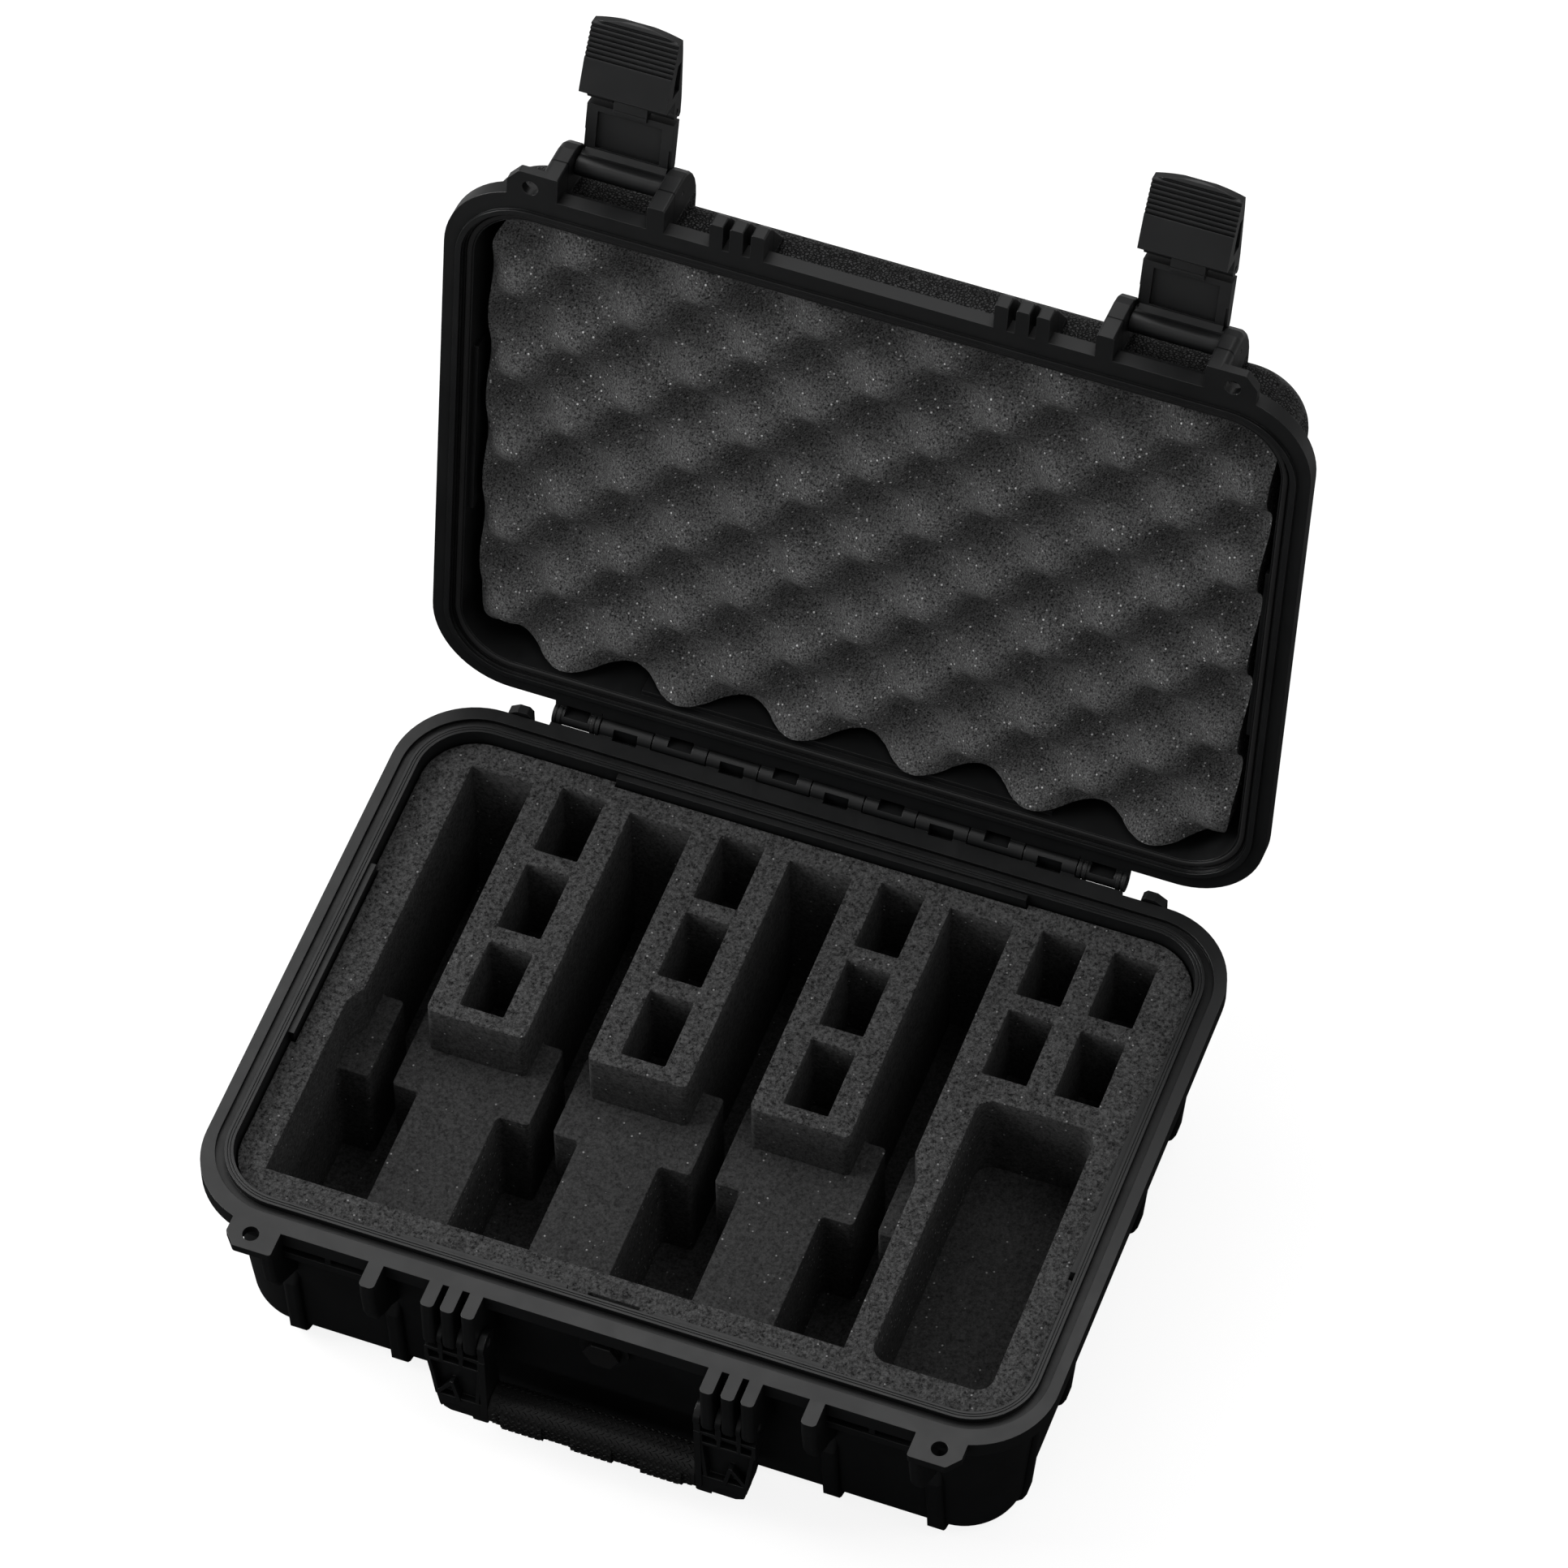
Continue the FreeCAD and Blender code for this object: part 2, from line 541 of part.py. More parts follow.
# ---------------------------------------------------------------- latch, drawn shut on the right
def make_arm():
    outer_y, inner_y = -170.6, -163.8          # faces of the plate
    tongue_y = -168.4                          # front face of the tongue
    tongue_x = (LATCH_X - TONGUE_HALF, LATCH_X + TONGUE_HALF)
    arm = fuse([
        rod_x(LATCH_X0, LATCH_X1, LATCH_Y, LATCH_Z, 4.8),
        # plate
        along_x([(outer_y, -5.8), (inner_y, -5.8), (inner_y, 17.6), (-161.4, 19.8),
                 (LATCH_Y, LATCH_Z - 4.0), (LATCH_Y, LATCH_Z + 4.7), (-162.4, 29.8),
                 (-166.0, 28.8), (-169.0, 25.0), (outer_y, 18.0)], LATCH_X0, LATCH_X1),
        along_x([(tongue_y, -6.5), (inner_y + 1.4, -6.5), (inner_y + 1.4, -5.0),
                 (inner_y, -3.5), (inner_y, 6.0), (tongue_y, 6.0)], *tongue_x),
        # tongue that carries the lever pin
        along_x([(tongue_y, -4.0), (tongue_y, LEVER_Z), (inner_y + 1.2, LEVER_Z),
                 (inner_y + 1.2, -4.0)], *tongue_x),
        rod_x(*tongue_x, LEVER_Y, LEVER_Z, 3.3)])
    relief = (-164.5, -150.0, 8.0, LATCH_Z - 5.2)      # barrel ends next to the plate
    return largest(cut_all(arm, [
        rod_x(LATCH_X0 - 1, LATCH_X1 + 1, LATCH_Y, LATCH_Z, LATCH_PIN_R + 0.06),
        rod_x(LATCH_X - 10, LATCH_X + 10, LEVER_Y, LEVER_Z, LEVER_PIN_R + 0.03),
        # shallow panel on the inner face
        box(LATCH_X0 + 5.4, LATCH_X1 - 5.4, inner_y - 1.3, inner_y + 3.0, -2.6, 16.8),
        box(LATCH_X0 - 1, LATCH_X0 + 1.2, *relief),
        box(LATCH_X1 - 1.2, LATCH_X1 + 1, *relief),
        # shallow panel on the outer face
        box(LATCH_X0 + 5.0, LATCH_X1 - 5.0, outer_y - 1.0, outer_y + 0.9, 0.0, 18.0)]))


def lever_profile():
    """(y, z) points of the lever, with grooves across the pad on its inner face."""
    points = [(-171.0, -9.2), (-169.8, -8.2), (-168.7, -8.2), (-168.7, -17.2), (-163.2, -17.2),
              (-161.4, -20.3), (-149.8, -20.3), (-149.3, -20.9), (-149.6, -22.6)]
    pad_start, pad_end = (-152.8, -36.0), (-159.3, -53.4)
    groove_count = 8
    # fraction of the groove pitch, groove depth
    groove = ((0.0, 0.0), (0.42, 0.0), (0.62, 1.0), (0.9, 1.0))
    for k in range(groove_count):
        for fraction, depth in groove:
            t = (k + fraction) / groove_count
            y = pad_start[0] + (pad_end[0] - pad_start[0]) * t
            z = pad_start[1] + (pad_end[1] - pad_start[1]) * t
            points.append((y - 0.94 * depth, z + 0.34 * depth))
    return points + [pad_end, (-160.4, -54.9), (-161.8, -55.6), (-163.4, -55.0),
                     (-165.8, -45.0), (-168.2, -31.0), (-170.4, -18.0)]


def make_lever():
    lever = along_x(lever_profile(), LATCH_X0, LATCH_X1)
    # finger end rounded across its width
    end_radius, end_z = 62.0, -55.4
    front, back = -176.0, -140.0
    keep = rod_y(front, back, LATCH_X, end_z + end_radius, end_radius)
    keep = keep.fuse(box(LATCH_X0 - 1, LATCH_X1 + 1, front, back, -44.0, 0.0))
    lever = lever.common(keep)
    # side cheeks that carry the pin
    cheek = [(-170.2, -9.6), (LEVER_Y, LEVER_Z + 2.0), (LEVER_Y + 3.6, LEVER_Z),
             (LEVER_Y + 4.2, -20.5), (-169.9, -20.5)]
    for x0, x1 in ((LATCH_X0, LATCH_X - TONGUE_ROOM), (LATCH_X + TONGUE_ROOM, LATCH_X1)):
        lever = lever.fuse(rod_x(x0, x1, LEVER_Y, LEVER_Z, 3.7))
        lever = lever.fuse(along_x(cheek, x0, x1))
    lever = lever.removeSplitter()
    cuts = [rod_x(LATCH_X0 - 1, LATCH_X1 + 1, LEVER_Y, LEVER_Z, LEVER_PIN_R + 0.05),
            # room for the arm tongue
            box(LATCH_X - TONGUE_ROOM, LATCH_X + TONGUE_ROOM, -172.0, -160.6, -18.2, -4.0)]
    # hollow at each end, and the opening from it to the outside
    hollow = [(-167.4, -22.5), (-153.6, -22.5), (-156.4, -34.0), (-159.4, -42.0),
              (-166.2, -42.0), (-167.8, -30.0)]
    opening = [(-165.4, -24.5), (-157.0, -24.5), (-158.6, -34.0), (-160.8, -40.0),
               (-164.8, -40.0)]
    for x0, x1 in ((LATCH_X1 - 15.0, LATCH_X1 - 2.4), (LATCH_X0 + 2.4, LATCH_X0 + 15.0)):
        cuts.append(along_x(hollow, x0, x1))
    for x0, x1 in ((LATCH_X0 - 1, LATCH_X0 + 3.0), (LATCH_X1 - 3.0, LATCH_X1 + 1)):
        cuts.append(along_x(opening, x0, x1))
    lever = largest(cut_all(lever, cuts))
    return largest(soften(lever, 0.9, lambda ext: ext.ZMax < -49.0 and ext.XLength > 30))


def make_latch_pin():
    return rod_x(EAR_IN[0] + 0.2, EAR_OUT[1] - 0.2, LATCH_Y, LATCH_Z, LATCH_PIN_R)


def make_lever_pin():
    return rod_x(LATCH_X0 + 0.5, LATCH_X1 - 0.5, LEVER_Y, LEVER_Z, LEVER_PIN_R)


# ---------------------------------------------------------------- handle, hanging down
# Truss bars on the front of each web: x, z of one end, x, z of the other, width
TRUSS = [(50.4, -38.0, 79.8, -38.0, 2.0), (50.4, -46.6, 79.8, -46.6, 2.0),
         (53.4, -37.4, 53.4, -47.0, 1.8), (62.2, -37.4, 62.2, -47.0, 1.8),
         (71.9, -37.4, 71.9, -47.0, 1.8), (79.0, -37.4, 79.0, -47.0, 1.8),
         (67.6, -62.0, 64.4, -77.0, 1.9), (67.6, -63.0, 75.2, -74.4, 2.0),
         (78.8, -44.0, 76.9, -58.0, 1.8), (76.9, -57.6, 74.9, -75.0, 1.8),
         (53.4, -47.0, 55.4, -74.0, 1.8)]
# Outlines on the right-hand side: x, z
HANDLE_WEB = [(CHEEK[0], -37.0), (79.8, -37.0), (79.8, -44.0), (77.8, -58.0), (75.8, -74.0),
              (73.8, -86.0), (CHEEK[0], -86.0)]
CORNER_BLOCK = [(CHEEK[0], -75.0), (75.6, -75.0), (74.2, -83.6), (72.6, -87.0), (69.4, -88.6),
                (CHEEK[0], -88.6)]


def sided_panel(side, points, y0, y1):
    return along_y([(side * x, z) for x, z in points], y0, y1)


def truss_bar(side, x0, z0, x1, z1, width):
    length = math.hypot(x1 - x0, z1 - z0)
    across_x = -(z1 - z0) / length * width / 2
    across_z = (x1 - x0) / length * width / 2
    points = [(x0 + across_x, z0 + across_z), (x1 + across_x, z1 + across_z),
              (x1 - across_x, z1 - across_z), (x0 - across_x, z0 - across_z)]
    return sided_panel(side, points, -165.6, -160.0)


def handle_side(side):
    solids = []
    for near, far in (CHEEK,) + HANDLE_KNUCKLES:
        x0, x1 = span(side, near, far)
        solids.append(rod_x(x0, x1, HANDLE_Y, HANDLE_Z, 6.6))
        solids.append(along_x([(HANDLE_Y - 5.8, HANDLE_Z), (HANDLE_Y + 6.2, HANDLE_Z),
                               (HANDLE_Y + 6.2, -40.0), (-166.0, -40.0),
                               (HANDLE_Y - 5.8, -37.0)], x0, x1))
    # inner cheek runs down to the grip
    solids.append(along_x([(-166.0, -37.5), (-153.8, -37.5), (-152.0, -60.0), (-150.4, -74.0),
                           (-150.4, -84.0), (-165.8, -84.0)], *span(side, *CHEEK)))
    solids.append(sided_panel(side, HANDLE_WEB, -161.8, -155.6))
    for bar in TRUSS:
        solids.append(truss_bar(side, *bar))
    solids.append(sided_panel(side, CORNER_BLOCK, -165.2, -150.4))
    return solids


def make_handle():
    handle = fuse(handle_side(-1) + handle_side(1) + [box(*CORE)])
    cuts = []
    for side in SIDES:
        cuts.append(rod_x(*span(side, 46.0, 88.0), HANDLE_Y, HANDLE_Z, HANDLE_PIN_R + 0.06))
        # shallow half-moon recess on each corner block
        cuts.append(rod_y(-167.0, -164.2, side * 66.2, -89.2, 8.2))
    handle = largest(cut_all(handle, cuts))
    handle = soften(handle, 1.4, lambda ext: ext.YLength > 13.0 and ext.ZMax < -83.0
                    and ext.ZLength < 0.5)
    return largest(handle)


def make_handle_pin():
    return rod_x(50.6, 79.7, HANDLE_Y, HANDLE_Z, HANDLE_PIN_R)


def grip_bar(x0, x1, y0, y1, z0, z1):
    return soften(box(x0, x1, y0, y1, z0, z1), 6.6, lambda ext: ext.XLength > (x1 - x0) - NEAR)


def make_grip():
    """Rubber sleeve round the handle core, with three raised pads."""
    y0, y1, z0, z1 = -166.0, -149.6, -89.6, -70.6
    bars = [grip_bar(-55.9, 55.9, y0, y1, z0, z1)]
    for xc in (-34.0, 0.0, 34.0):
        bars.append(grip_bar(xc - 10.0, xc + 10.0, y0 - 1.0, y1 - 4.0, z0 - 0.9, z1 - 3.0))
    grip = fuse(bars)
    x0, x1, y0, y1, z0, z1 = CORE
    fit = 0.02
    grip = grip.cut(box(x0 - 0.1, x1 + 0.1, y0 - fit, y1 + fit, z0 - fit, z1 + fit))
    # ends trimmed just short of the handle cheeks
    for side in (1, -1):
        grip = grip.cut(box(*span(side, CHEEK[0] - 0.2, 60.0), -170, -145, -95, -65))
    return largest(grip)


# ---------------------------------------------------------------- pressure valve in the front wall
def vent_rod(y0, y1, radius):
    return rod_y(y0, y1, 0, VENT_Z, radius)


def vent_hexagon(radius, y0, length):
    corners = []
    for k in range(7):
        angle = math.radians(60 * k)
        corners.append(Vector(radius * math.cos(angle), y0, VENT_Z + radius * math.sin(angle)))
    return Part.Face(Part.makePolygon(corners)).extrude(Vector(0, length, 0))


def make_vent_seal():
    return largest(vent_rod(-146.9, -145.8, 8.4).cut(vent_rod(-148, -140, VENT_BORE_R)))


def make_vent_body():
    body = vent_rod(-147.8, -146.9, 8.0).fuse(vent_rod(-147.0, -132.0, VENT_BODY_R))
    body = body.cut(vent_rod(-144.0, -130.0, 4.6)).cut(vent_rod(-150.0, -143.0, 3.0))
    return largest(body.removeSplitter())


def make_vent_cap():
    """Flat hexagonal head; air passes through two crossing channels in its back."""
    cap = soften(vent_hexagon(9.0, -150.4, 2.6), 0.6, lambda ext: ext.YMax < -150.3)
    for half_x, half_z in ((10.0, 1.0), (1.0, 10.0)):
        cap = cap.cut(box(-half_x, half_x, -148.5, -147.0, VENT_Z - half_z, VENT_Z + half_z))
    return largest(cap)


def make_vent_nut():
    return largest(vent_hexagon(10.2, -135.95, 3.7).cut(vent_rod(-140, -130, VENT_BODY_R + 0.04)))


def make_vent_membrane():
    return largest(vent_rod(-143.9, -143.4, 4.5))


# ---------------------------------------------------------------- foam
def foam_blank(z0, z1):
    """Foam sheet from z0 up to z1, following the drafted cavity and clearing its pads."""
    upper, lower = [grown(blend(MOUTH, RIDGE_H, CAVITY, FLOOR_Z, z), -FOAM_GAP, keep_radius=True)
                    for z in (z1, z0)]
    heights = (z0 - 1, z1 + 1)
    half_x, half_y = PAD_HALF_X + FOAM_GAP, PAD_HALF_Y + FOAM_GAP
    notch_y = PAD_Y - FOAM_GAP
    notches = [box(*span(side, PAD_X - FOAM_GAP, 200.0), -half_y, half_y, *heights)
               for side in SIDES]
    notches += [box(-half_x, half_x, notch_y, 150.0, *heights),
                box(-half_x, half_x, -150.0, -notch_y, *heights),
                # room for the valve nut
                box(-12.4, 12.4, -150.0, -131.6, *heights)]
    return cut_all(drafted(upper, z1, lower, z0), notches)


def slot_x(k):
    return SLOT_X0 + SLOT_PITCH * k


def small_pockets(z0, z1):
    # left edge x, number of rows counted from the back
    columns = [(SMALL_X0 + SLOT_PITCH * k, 3) for k in range(3)] + [(113.4, 2), (148.4, 2)]
    return [block((x, x + SMALL_W, y0, y1, SMALL_R), z0, z1 - z0)
            for x, rows in columns for y0, y1 in SMALL_ROWS[:rows]]


def slots(z0, z1):
    """Slots that narrow to a neck and widen again at the front."""
    neck_back, neck_front = 6.5, -38.4
    solids = []
    for k in range(SLOT_LAST + 1):
        x = slot_x(k)
        front_x0 = TRAY_X0 if k == 0 else x - 4.4
        front_x1 = TRAY_X1 if k == SLOT_LAST else x + 35.6
        neck_x0, neck_x1 = x + 10.8, x + 22.6
        slot = along_z([(x, SLOT_BACK), (x, neck_back), (neck_x0, neck_back),
                        (neck_x0, neck_front), (front_x0, neck_front), (front_x0, TRAY_FRONT),
                        (front_x1, TRAY_FRONT), (front_x1, neck_front), (neck_x1, neck_front),
                        (neck_x1, neck_back), (x + SLOT_W, neck_back), (x + SLOT_W, SLOT_BACK)],
                       z0, z1)
        solids.append(soften(slot, 2.2, lambda ext: ext.ZLength > 10 and ext.YMin < 10))
    return solids


def tray(z0, z1):
    """Open tray in front of the islands, with four slots running back between them."""
    points = [(SLOT_X0, -12.5), (TRAY_X0, -21.4), (TRAY_X0, TRAY_FRONT), (TRAY_X1, TRAY_FRONT),
              (TRAY_X1, -22.2), (slot_x(SLOT_LAST) + SLOT_W, -10.8)]
    for k in range(SLOT_LAST, -1, -1):
        left, right = slot_x(k), slot_x(k) + SLOT_W
        if k < SLOT_LAST:
            points.append((right, ISLAND_FRONT))
        points += [(right, SLOT_BACK), (left, SLOT_BACK)]
        if k > 0:
            points.append((left, ISLAND_FRONT))
    return soften(along_z(points, z0, z1), 3.0, lambda ext: ext.ZLength > 20
                  and abs(ext.YMin - ISLAND_FRONT) < 0.1)


def make_foam_top():
    z0, z1 = SHELF_Z - FOAM_OVERCUT, FOAM_TOP + FOAM_OVERCUT
    pockets = [tray(z0, z1), block(WIDE_POCKET, z0, z1 - z0)] + small_pockets(z0, z1)
    return largest(cut_all(foam_blank(SHELF_Z, FOAM_TOP), pockets))


def make_foam_shelf():
    z0, z1 = MID_Z - FOAM_OVERCUT, SHELF_Z + FOAM_OVERCUT
    pockets = slots(z0, z1) + [block(WIDE_POCKET, z0, z1 - z0)] + small_pockets(z0, z1)
    return largest(cut_all(foam_blank(MID_Z, SHELF_Z), pockets))


def foam_envelope():
    """Cavity less the foam gap, with the rounded floor edge."""
    envelope = drafted(grown(MOUTH, -FOAM_GAP, keep_radius=True), RIDGE_H,
                       grown(CAVITY, -FOAM_GAP, keep_radius=True), PAD_Z)
    return soften(envelope, CAVITY_EDGE_R, lambda ext: ext.ZMax < PAD_Z + NEAR)


def make_foam_lower():
    layer = cut_all(foam_blank(LOW_Z, MID_Z), slots(LOW_Z - FOAM_OVERCUT, MID_Z + FOAM_OVERCUT))
    return largest(layer.common(foam_envelope()))


def make_foam_pad():
    return largest(foam_blank(PAD_Z, LOW_Z).common(foam_envelope()))


def make_lid_foam():
    z0, z1 = 1.2, LID_CEILING - 0.4
    half_y = PAD_HALF_Y + FOAM_GAP
    foam = block(centred(185.6, 133.6, 26.0), z0, z1 - z0)
    foam = cut_all(foam, [box(*span(side, LID_PAD_X - FOAM_GAP, 200.0), -half_y, half_y,
                              z0 - 1, z1 + 1) for side in SIDES])
    ceiling = LID_CEILING - 0.3
    envelope = drafted(grown(MOUTH, -0.4, keep_radius=True), 0.0,
                       grown(LID_CAVITY, -0.4, keep_radius=True), ceiling)
    envelope = soften(envelope, 9.4, lambda ext: ext.ZMin > ceiling - NEAR)
    return largest(foam.common(envelope))


# ---------------------------------------------------------------- assemble and write
def turned(shape, y, z, angle):
    """Copy turned about an axis along X through y, z."""
    copy = shape.copy()
    copy.rotate(Vector(0, y, z), Vector(1, 0, 0), angle)
    return copy


def swing_lid(shape):
    return turned(shape, HINGE_Y, HINGE_Z, -OPEN_ANGLE)


def throw_latch(shape):
    return swing_lid(turned(shape, LATCH_Y, LATCH_Z, -LATCH_THROW))


def stay(shape):
    return shape


def main():
    os.makedirs("parts", exist_ok=True)
    pieces = {
        "base_shell": make_base(),
        "lid_shell": swing_lid(make_lid()),
        "rim_gasket": swing_lid(make_gasket()),
        "hinge_pin": rod_x(KNUCKLE_X[0] + 0.8, KNUCKLE_X[-1] - 0.8, HINGE_Y, HINGE_Z, HINGE_PIN_R),
        "handle_frame": make_handle(),
        "handle_grip": make_grip(),
        "vent_seal": make_vent_seal(),
        "vent_body": make_vent_body(),
        "vent_cap": make_vent_cap(),
        "vent_nut": make_vent_nut(),
        "vent_membrane": make_vent_membrane(),
        "foam_top_layer": make_foam_top(),
        "foam_shelf_layer": make_foam_shelf(),
        "foam_lower_layer": make_foam_lower(),
        "foam_base_pad": make_foam_pad(),
        "lid_foam": swing_lid(make_lid_foam()),
    }
    # drawn on the right, mirrored to the left, then moved into place
    for name, shape, place in (("latch_arm", make_arm(), throw_latch),
                               ("latch_lever", make_lever(), throw_latch),
                               ("latch_pin", make_latch_pin(), swing_lid),
                               ("lever_pin", make_lever_pin(), throw_latch),
                               ("handle_pin", make_handle_pin(), stay)):
        pieces[name + "_right"] = place(shape)
        pieces[name + "_left"] = place(mirrored(shape))
    for name, shape in pieces.items():
        lifted = shape.copy()
        lifted.translate(Vector(0, 0, RIM_Z))
        lifted.exportStep(os.path.join("parts", name + ".step"))


main()
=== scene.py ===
import json
import math
import random

import bmesh
import bpy
import numpy as np
from mathutils import Matrix, Vector
from mathutils.bvhtree import BVHTree


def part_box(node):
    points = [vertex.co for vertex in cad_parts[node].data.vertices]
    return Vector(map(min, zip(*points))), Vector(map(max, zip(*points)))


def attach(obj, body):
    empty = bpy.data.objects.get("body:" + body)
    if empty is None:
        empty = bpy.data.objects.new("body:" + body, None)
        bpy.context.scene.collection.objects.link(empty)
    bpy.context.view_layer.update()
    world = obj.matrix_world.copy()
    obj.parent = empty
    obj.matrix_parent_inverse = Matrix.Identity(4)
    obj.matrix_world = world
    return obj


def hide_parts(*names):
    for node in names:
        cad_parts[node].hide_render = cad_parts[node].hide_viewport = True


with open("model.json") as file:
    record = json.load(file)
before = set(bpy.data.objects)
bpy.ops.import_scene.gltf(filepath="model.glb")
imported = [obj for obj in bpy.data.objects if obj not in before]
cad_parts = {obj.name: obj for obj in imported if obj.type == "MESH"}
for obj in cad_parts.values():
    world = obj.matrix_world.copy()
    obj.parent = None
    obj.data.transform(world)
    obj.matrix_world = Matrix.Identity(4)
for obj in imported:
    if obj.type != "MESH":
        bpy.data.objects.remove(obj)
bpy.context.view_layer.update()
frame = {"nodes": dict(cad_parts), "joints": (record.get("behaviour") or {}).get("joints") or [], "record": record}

random.seed(7)
MM = 0.001
scene = bpy.context.scene
nodes_cad = frame["nodes"]
slot_of = {p["node"]: p["material_slot"] for p in frame["record"]["subparts"]}
joint = {j["name"]: j for j in frame["joints"]}
HINGE = Vector(joint["lid_hinge"]["pos_m"])
OPEN = math.radians(joint["lid_hinge"]["range_deg"][1])


# ---------------------------------------------------------------- node graph helpers
class Graph:
    """A material's node tree, written as nested calls."""

    def __init__(self, name):
        self.m = bpy.data.materials.new(name)
        self.m.use_nodes = True
        self.t = self.m.node_tree
        self.t.nodes.clear()
        self.out = self.t.nodes.new("ShaderNodeOutputMaterial")

    def node(self, kind, **kw):
        n = self.t.nodes.new(kind)
        for k, v in kw.items():
            setattr(n, k, v)
        return n

    def put(self, sock, v):
        if isinstance(v, bpy.types.NodeSocket):
            self.t.links.new(v, sock)
        elif v is not None:
            sock.default_value = v

    def math(self, op, a, b=None, c=None, clamp=False):
        n = self.node("ShaderNodeMath", operation=op, use_clamp=clamp)
        for i, v in enumerate((a, b, c)):
            if v is not None:
                self.put(n.inputs[i], v)
        return n.outputs[0]

    def vmath(self, op, a, b=None, scale=None, out=0):
        n = self.node("ShaderNodeVectorMath", operation=op)
        self.put(n.inputs[0], a)
        if b is not None:
            self.put(n.inputs[1], b)
        if scale is not None:
            self.put(n.inputs["Scale"], scale)
        return n.outputs[out]

    def ramp(self, v, a, b, lo=0.0, hi=1.0, smooth=False):
        n = self.node("ShaderNodeMapRange", clamp=True)
        if smooth:
            n.interpolation_type = "SMOOTHSTEP"
        self.put(n.inputs[0], v)
        for i, x in enumerate((a, b, lo, hi)):
            self.put(n.inputs[i + 1], x)
        return n.outputs[0]

    def mix(self, f, a, b):
        n = self.node("ShaderNodeMix", data_type="RGBA")
        self.put(n.inputs[0], f)
        for s, v in ((n.inputs[6], a), (n.inputs[7], b)):
            if isinstance(v, (tuple, list)) and len(v) == 3:
                v = (*v, 1.0)
            self.put(s, v)
        return n.outputs[2]

    def mixf(self, f, a, b):
        n = self.node("ShaderNodeMix", data_type="FLOAT")
        self.put(n.inputs[0], f)
        self.put(n.inputs[2], a)
        self.put(n.inputs[3], b)
        return n.outputs[0]

    def coords_mm(self):
        tc = self.node("ShaderNodeTexCoord")
        return self.vmath("SCALE", tc.outputs["Object"], scale=1000.0)

    def noise(self, vec, scale, detail=3.0, rough=0.5, dist=0.0, out=0, seed=0.0):
        n = self.node("ShaderNodeTexNoise", noise_dimensions="4D")
        self.put(n.inputs["Vector"], vec)
        self.put(n.inputs["W"], seed)
        self.put(n.inputs["Scale"], scale)
        self.put(n.inputs["Detail"], detail)
        self.put(n.inputs["Roughness"], rough)
        self.put(n.inputs["Distortion"], dist)
        return n.outputs[out]

    def voronoi(self, vec, scale, feature="F1", out="Distance", randomness=1.0, smooth=None):
        n = self.node("ShaderNodeTexVoronoi", feature=feature)
        self.put(n.inputs["Vector"], vec)
        self.put(n.inputs["Scale"], scale)
        self.put(n.inputs["Randomness"], randomness)
        if smooth is not None:
            self.put(n.inputs["Smoothness"], smooth)
        return n.outputs[out]

    def bump(self, height, strength, dist, normal=None):
        n = self.node("ShaderNodeBump")
        self.put(n.inputs["Height"], height)
        self.put(n.inputs["Strength"], strength)
        self.put(n.inputs["Distance"], dist)
        if normal is not None:
            self.put(n.inputs["Normal"], normal)
        return n.outputs[0]

    def soft_edge(self, radius):
        n = self.node("ShaderNodeBevel", samples=3)
        n.inputs["Radius"].default_value = radius
        return n.outputs[0]

    def paint_crevice_shade(self, reach, lo=0.25, hi=0.85, dark=0.3):
        """Painted shade: 1 on open faces, down to `dark` at the bottom of narrow grooves and seams, taken from an
        ambient-occlusion node.
        """
        n = self.node("ShaderNodeAmbientOcclusion", samples=3)
        n.inputs["Distance"].default_value = reach
        return self.ramp(n.outputs["AO"], lo, hi, dark, 1.0)

    def edge_mask(self, soft):
        g = self.node("ShaderNodeNewGeometry")
        d = self.vmath("DOT_PRODUCT", soft, g.outputs["True Normal"], out=1)
        return self.ramp(d, 0.97, 0.80)

    def principled(self, color, rough, spec=0.5, normal=None, metal=0.0, sheen=0.0, sheen_rough=0.5, coat=0.0):
        n = self.node("ShaderNodeBsdfPrincipled")
        if isinstance(color, (tuple, list)) and len(color) == 3:
            color = (*color, 1.0)
        self.put(n.inputs["Base Color"], color)
        self.put(n.inputs["Roughness"], rough)
        self.put(n.inputs["Specular IOR Level"], spec)
        self.put(n.inputs["Metallic"], metal)
        self.put(n.inputs["Sheen Weight"], sheen)
        self.put(n.inputs["Sheen Roughness"], sheen_rough)
        self.put(n.inputs["Coat Weight"], coat)
        if normal is not None:
            self.put(n.inputs["Normal"], normal)
        self.t.links.new(n.outputs[0], self.out.inputs[0])
        return n


def closed_coords(g, p):
    """Coordinates in millimetres with the lid swung shut, so that its grain follows its own faces."""
    v = g.vmath("SUBTRACT", p, tuple(c * 1000.0 for c in HINGE))
    n = g.node("ShaderNodeVectorRotate", rotation_type="X_AXIS")
    g.put(n.inputs["Vector"], v)
    n.inputs["Angle"].default_value = OPEN
    return g.vmath("ADD", n.outputs[0], tuple(c * 1000.0 for c in HINGE))


